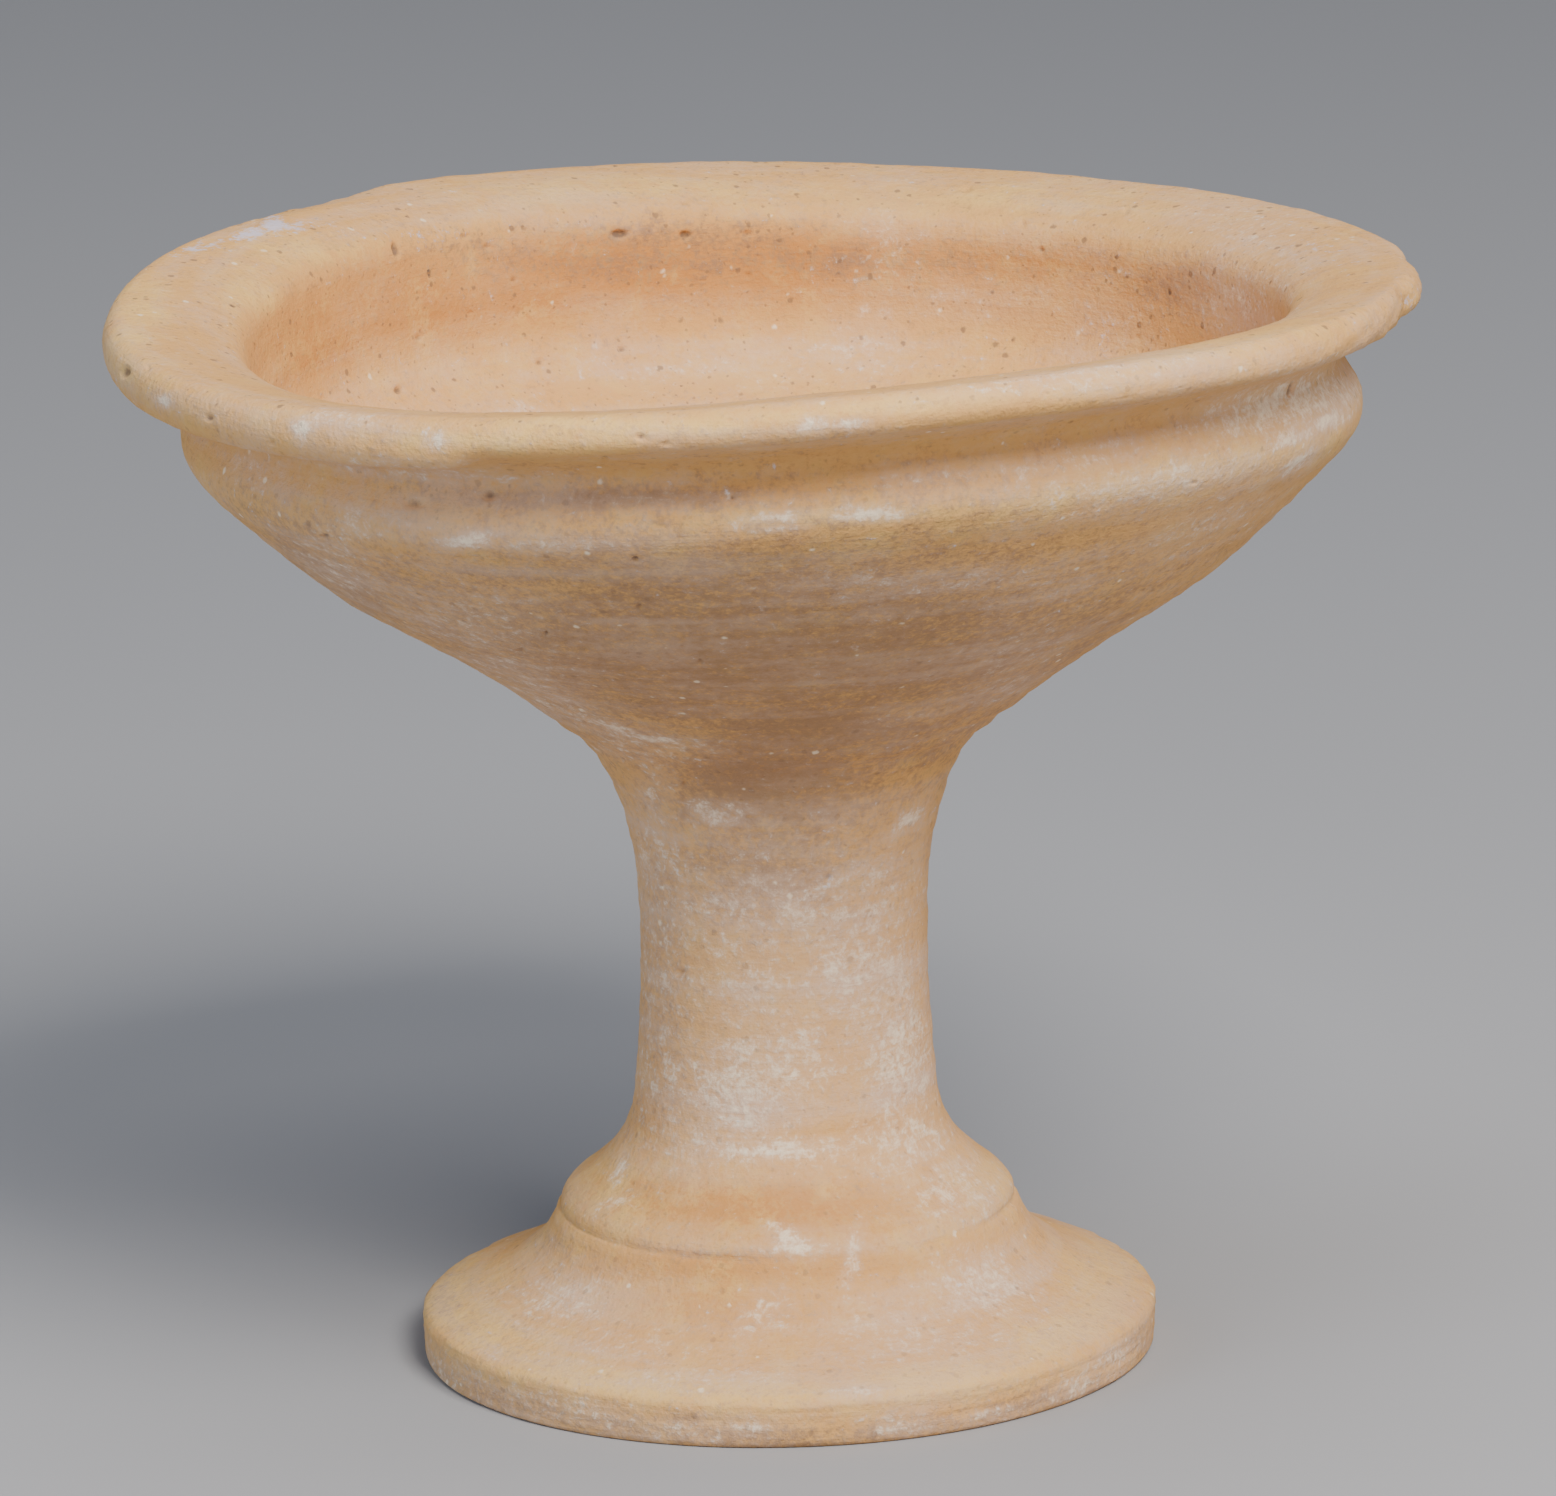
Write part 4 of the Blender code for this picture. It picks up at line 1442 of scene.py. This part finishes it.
@dataclass(frozen=True)
class FiredClay:
    """Matt buff-orange fired clay with mottling, grit, wheel lines, grime, painted shade and a
    chalky film of lime.

    Fields: its colours, how much a colour may cover what lies below, and the scales of its
    noises in cells to a metre.
    """

    buff: Colour = from_screen(216, 164, 99)
    orange: Colour = from_screen(192, 131, 68)
    straw: Colour = from_screen(232, 191, 113)
    # brown of real grime, also used as painted shade under the bowl, under the lip, on the stem and
    # in the foot's crease
    dirt_and_shade_brown: Colour = from_screen(141, 112, 90)
    lime: Colour = from_screen(244, 224, 192)
    veil: Colour = from_screen(212, 180, 156)
    lilac: Colour = from_screen(202, 192, 202)
    dark: Colour = from_screen(108, 88, 74)
    roughness: float = 0.92
    gloss: float = 0.25
    bump_distance: float = 0.00035
    straw_cover: float = 0.85
    freckle_cover: float = 0.38
    dirt_and_shade_cover: float = 0.74
    haze_cover: float = 0.42
    lime_cover: float = 0.84
    lilac_cover: float = 0.95
    chalk_cover: float = 0.80
    hollow_cover: float = 0.8
    cloud_scale: float = 24.0
    haze_scale: float = 60.0
    blotch_scale: float = 170.0
    band_scale: float = 210.0
    skin_scale: float = 480.0
    fibre_scale: float = 540.0
    grain_scale: float = 640.0
    line_scale: float = 900.0
    shake_scale: float = 1400.0
    fine_scale: float = 1500.0
    shake_reach: float = 0.0005
    round_share: float = 0.06
    pore_scatters: tuple[Scatter, Scatter] = (
        Scatter(760.0, 0.40, 0.82, 0.60),
        Scatter(1350.0, 0.36, 0.72, 0.46),
    )
    chalk_scatter: Scatter = Scatter(560.0, 0.28, 0.93, 0.90)

    def material(self) -> bpy.types.Material:
        """Make the finish.

        Returns:
            The material.
        """
        made = bpy.data.materials.new("buff_clay_finish")
        book = NodeBook(made)
        place = book.node("ShaderNodeTexCoord", {}, {}, "Object")
        wheel, bands = self.wheel_lines(book, place)
        fine = book.noise(place, self.fine_scale, 2.0, 0.7)
        ragged = self.ragged(book, place, fine, wheel)
        colour = self.mottled(book, place, wheel, fine, bands)
        colour = self.filmed(book, place, colour, ragged, bands)
        colour = self.specked(book, place, colour, ragged)
        skin = book.noise(place, self.skin_scale, 2.0, 0.6)
        height = fine * 0.45 + skin * 0.55 + wheel * 0.30
        bump = book.node("ShaderNodeBump", {}, {"Height": height, "Distance": self.bump_distance})
        inputs = {
            "Base Color": colour,
            "Roughness": self.roughness,
            "Normal": bump,
            "Specular IOR Level": self.gloss,
        }
        shader = book.node("ShaderNodeBsdfPrincipled", {}, inputs)
        book.node("ShaderNodeOutputMaterial", {}, {"Surface": shader})
        return made

    def wheel_lines(self, book: NodeBook, place: Socket) -> tuple[Socket, Socket]:
        """Unevenness that runs round the body, from the wheel.

        Args:
            book: the material's tree.
            place: position on the object.

        Returns:
            Fine lines and broader bands, both about one half.
        """
        flat = book.stretched(place, (1.0, 1.0, 0.0))
        length = {"operation": "LENGTH"}
        radius = book.node("ShaderNodeVectorMath", length, {"Vector": flat}, "Value")
        apart = book.node("ShaderNodeSeparateXYZ", {}, {"Vector": place}, "X")
        inputs = {"X": radius, "Y": book.other(apart, "Z"), "Z": apart * self.round_share}
        lines = book.node("ShaderNodeCombineXYZ", {}, inputs)
        bands = book.noise(lines, self.band_scale, 2.0, 0.6)
        return book.noise(lines, self.line_scale, 3.0, 0.7), bands

    def ragged(self, book: NodeBook, place: Socket, fine: Socket, wheel: Socket) -> Socket:
        """Fibrous unevenness that breaks up the films on the clay.

        Args:
            book: the material's tree.
            place: position on the object.
            fine: fine noise.
            wheel: fine lines from the wheel.

        Returns:
            Values about one half.
        """
        inputs = {
            "Vector": place,
            "Scale": self.fibre_scale,
            "Detail": 4.0,
            "Roughness": 0.74,
            "Distortion": 0.6,
        }
        fibres = book.node("ShaderNodeTexNoise", {}, inputs)
        return fibres * 1.5 + fine * 0.8 + wheel * 0.6 - 0.95

    def mottled(
        self, book: NodeBook, place: Socket, wheel: Socket, fine: Socket, bands: Socket
    ) -> Socket:
        """Clay colour, with brown grime and painted shade, before any film or grit lies on it.

        Args:
            book: the material's tree.
            place: position on the object.
            wheel: fine lines from the wheel.
            fine: fine noise.
            bands: broader bands from the wheel.

        Returns:
            The colour.
        """
        clouds = book.noise(place, self.cloud_scale)
        blotches = book.noise(place, self.blotch_scale, 3.0, 0.65)
        grainy = book.noise(place, self.grain_scale, 3.0, 0.7)
        warm = book.attribute(Layer.WARM)
        warmth = (clouds * 0.5 + blotches * 0.3 + warm * 0.80).between(0.32, 1.45)
        colour = book.tint(self.buff, self.orange, warmth)
        straw = book.attribute(Layer.STRAW) * 0.42
        pale = blotches * 0.8 + grainy * 0.8 + fine * 0.6 + bands * 0.3 - clouds * 0.3 + straw
        colour = book.tint(colour, self.straw, pale.between(1.02, 1.54) * self.straw_cover)
        freckles = (grainy + fine * 0.7 - clouds * 0.2).between(0.66, 1.02)
        colour = book.tint(colour, self.orange, freckles * self.freckle_cover)
        # brown tint: random grime, layered grime on the foot's edge, and painted shade under the
        # bowl, under the lip, on the stem's top and left side and in the foot's crease
        grime_and_shade = book.attribute(Layer.DIRT_AND_SHADE) * 0.70
        dirt_and_shade = fine + wheel * 0.4 + grainy * 0.8 + bands * 0.2 - blotches * 0.4 + grime_and_shade
        return book.tint(colour, self.dirt_and_shade_brown, dirt_and_shade.between(1.02, 1.62) * self.dirt_and_shade_cover)

    def filmed(
        self, book: NodeBook, place: Socket, colour: Socket, ragged: Socket, bands: Socket
    ) -> Socket:
        """Lay the haze, the crust of lime and the lilac stains over the clay.

        Args:
            book: the material's tree.
            place: position on the object.
            colour: colour of the clay.
            ragged: fibrous unevenness.
            bands: broader bands from the wheel.

        Returns:
            The colour with its films.
        """
        lime = book.attribute(Layer.LIME)
        haze = book.noise(place, self.haze_scale)
        bare = 1.0 - book.attribute(Layer.WARM) * 0.75
        veil = (haze * 0.6 + ragged * 0.4 + bands * 0.8).between(0.75, 1.15) * self.haze_cover
        veil = veil + lime * (ragged * 0.9 + 0.34)
        colour = book.tint(colour, self.veil, veil * bare)
        thick = (ragged * 1.15 + lime * 0.70).between(0.84, 1.58)
        colour = book.tint(colour, self.lime, thick * self.lime_cover)
        lilac = (book.attribute(Layer.LILAC) * 0.7 + ragged * 1.3).between(1.00, 1.50)
        return book.tint(colour, self.lilac, lilac * self.lilac_cover)

    def specked(self, book: NodeBook, place: Socket, colour: Socket, ragged: Socket) -> Socket:
        """Add the pale grit, the dark pores and the shade in the pits.

        Args:
            book: the material's tree.
            place: position on the object.
            colour: colour so far.
            ragged: fibrous unevenness.

        Returns:
            The finished colour.
        """
        inputs = {"Vector": place, "Scale": self.shake_scale, "Detail": 1.0}
        shake = book.node("ShaderNodeTexNoise", {}, inputs, "Color")
        inputs = {"Vector": shake, "Scale": self.shake_reach}
        shift = book.node("ShaderNodeVectorMath", {"operation": "SCALE"}, inputs)
        inputs = {"Vector": place, "Vector_001": shift}
        uneven = book.node("ShaderNodeVectorMath", {"operation": "ADD"}, inputs)
        coarse, small = (self.dots(book, uneven, scatter) for scatter in self.pore_scatters)
        pores = (coarse + small) * book.attribute(Layer.GRIT)
        chalk = self.dots(book, uneven, self.chalk_scatter) * self.chalk_cover
        colour = book.tint(colour, self.lime, chalk)
        colour = book.tint(colour, self.dark, pores)
        hollow = book.attribute(Layer.HOLLOW)
        shade = (hollow * 0.8 + ragged * 0.5).between(0.45, 1.15) * hollow
        return book.tint(colour, self.dark, shade * self.hollow_cover)

    def dots(self, book: NodeBook, place: Socket, scatter: Scatter) -> Socket:
        """A scatter of small dots of uneven size.

        Args:
            book: the material's tree.
            place: position on the object, slightly shaken.
            scatter: the scatter.

        Returns:
            How strongly the dots cover the clay.
        """
        inputs = {"Vector": place, "Scale": scatter.scale}
        away = book.node("ShaderNodeTexVoronoi", {}, inputs, "Distance")
        draw = book.node("ShaderNodeSeparateColor", {}, {"Color": book.other(away, "Color")}, "Red")
        size = book.other(draw, "Green") * scatter.largest
        inside = (size - away).between(-0.06, 0.14)
        return inside * draw.between(scatter.empty - 0.02, scatter.empty) * scatter.strength


class Lamp(NamedTuple):
    """A soft square lamp: name, place, side length, power in watts and colour."""

    name: str
    place: tuple[float, float, float]
    side: float
    power: float
    colour: tuple[float, float, float]


@dataclass(frozen=True)
class Studio:
    """Plain pale floor, soft lamps and the camera."""

    view: Viewpoint
    floor_side: float = 6.0
    floor_colour: Colour = (0.35, 0.355, 0.37, 1.0)
    sky: Colour = (0.68, 0.79, 1.0, 1.0)
    floor_roughness: float = 0.9
    sky_strength: float = 0.20
    sight: float = 20.0
    lamps: tuple[Lamp, ...] = (
        Lamp("key", (0.44, -0.88, 1.06), 0.60, 28.5, (1.0, 0.95, 0.89)),
        Lamp("top", (0.05, -0.10, 1.50), 0.90, 8.0, (1.0, 0.95, 0.91)),
        Lamp("fill", (-1.10, -0.60, 0.45), 0.80, 8.0, (0.70, 0.83, 1.0)),
        Lamp("low", (0.95, -1.05, 0.40), 0.70, 4.0, (0.95, 0.95, 1.0)),
    )

    def build(self) -> None:
        """Lay the floor, hang the lamps and set the camera."""
        self.floor()
        for lamp in self.lamps:
            self.hang(lamp)
        self.light_sky()
        self.camera()

    def floor(self) -> None:
        """Lay the floor."""
        nothing_selected()
        bpy.ops.mesh.primitive_plane_add(size=self.floor_side, location=(0, 0, 0))
        floor = bpy.context.object
        floor.name = "studio_floor"
        material = bpy.data.materials.new("studio_floor")
        book = NodeBook(material)
        inputs = {"Base Color": self.floor_colour, "Roughness": self.floor_roughness}
        shader = book.node("ShaderNodeBsdfPrincipled", {}, inputs)
        book.node("ShaderNodeOutputMaterial", {}, {"Surface": shader})
        floor.data.materials.append(material)

    def hang(self, lamp: Lamp) -> None:
        """Hang a lamp so that it looks at the middle of the chalice.

        Args:
            lamp: the lamp.
        """
        data = bpy.data.lights.new(lamp.name, "AREA")
        data.size = lamp.side
        data.energy = lamp.power
        data.color = lamp.colour
        item = bpy.data.objects.new(lamp.name, data)
        place = Vector(lamp.place)
        aim = Vector((0.0, 0.0, self.view.target_height)) - place
        turn = aim.to_track_quat("-Z", "Y").to_matrix().to_4x4()
        item.matrix_world = Matrix.Translation(place) @ turn
        bpy.context.scene.collection.objects.link(item)

    def light_sky(self) -> None:
        """Light the surroundings evenly."""
        world = bpy.data.worlds.new("studio")
        world.use_nodes = True
        background = world.node_tree.nodes["Background"]
        background.inputs["Color"].default_value = self.sky
        background.inputs["Strength"].default_value = self.sky_strength
        bpy.context.scene.world = world

    def camera(self) -> None:
        """Set the camera where the photograph was taken from."""
        data = bpy.data.cameras.new("camera")
        data.sensor_fit = "HORIZONTAL"
        data.sensor_width = self.view.sensor_width
        data.lens = self.view.focal_pixels * self.view.sensor_width / PHOTO_WIDTH
        data.clip_end = self.sight
        item = bpy.data.objects.new("camera", data)
        item.matrix_world = self.view.matrix()
        bpy.context.scene.collection.objects.link(item)
        bpy.context.scene.camera = item


def main() -> None:
    """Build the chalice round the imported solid, dress it, and set the studio."""
    logging.basicConfig(level=logging.INFO, format="%(message)s")
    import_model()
    view = Viewpoint()
    chalice = Chalice(Form(), Settling(), Weathering(), view).build()
    chalice.data.materials.append(FiredClay().material())
    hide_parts("chalice")
    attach(chalice, "root")
    Studio(view).build()


if __name__ == "__main__":
    main()
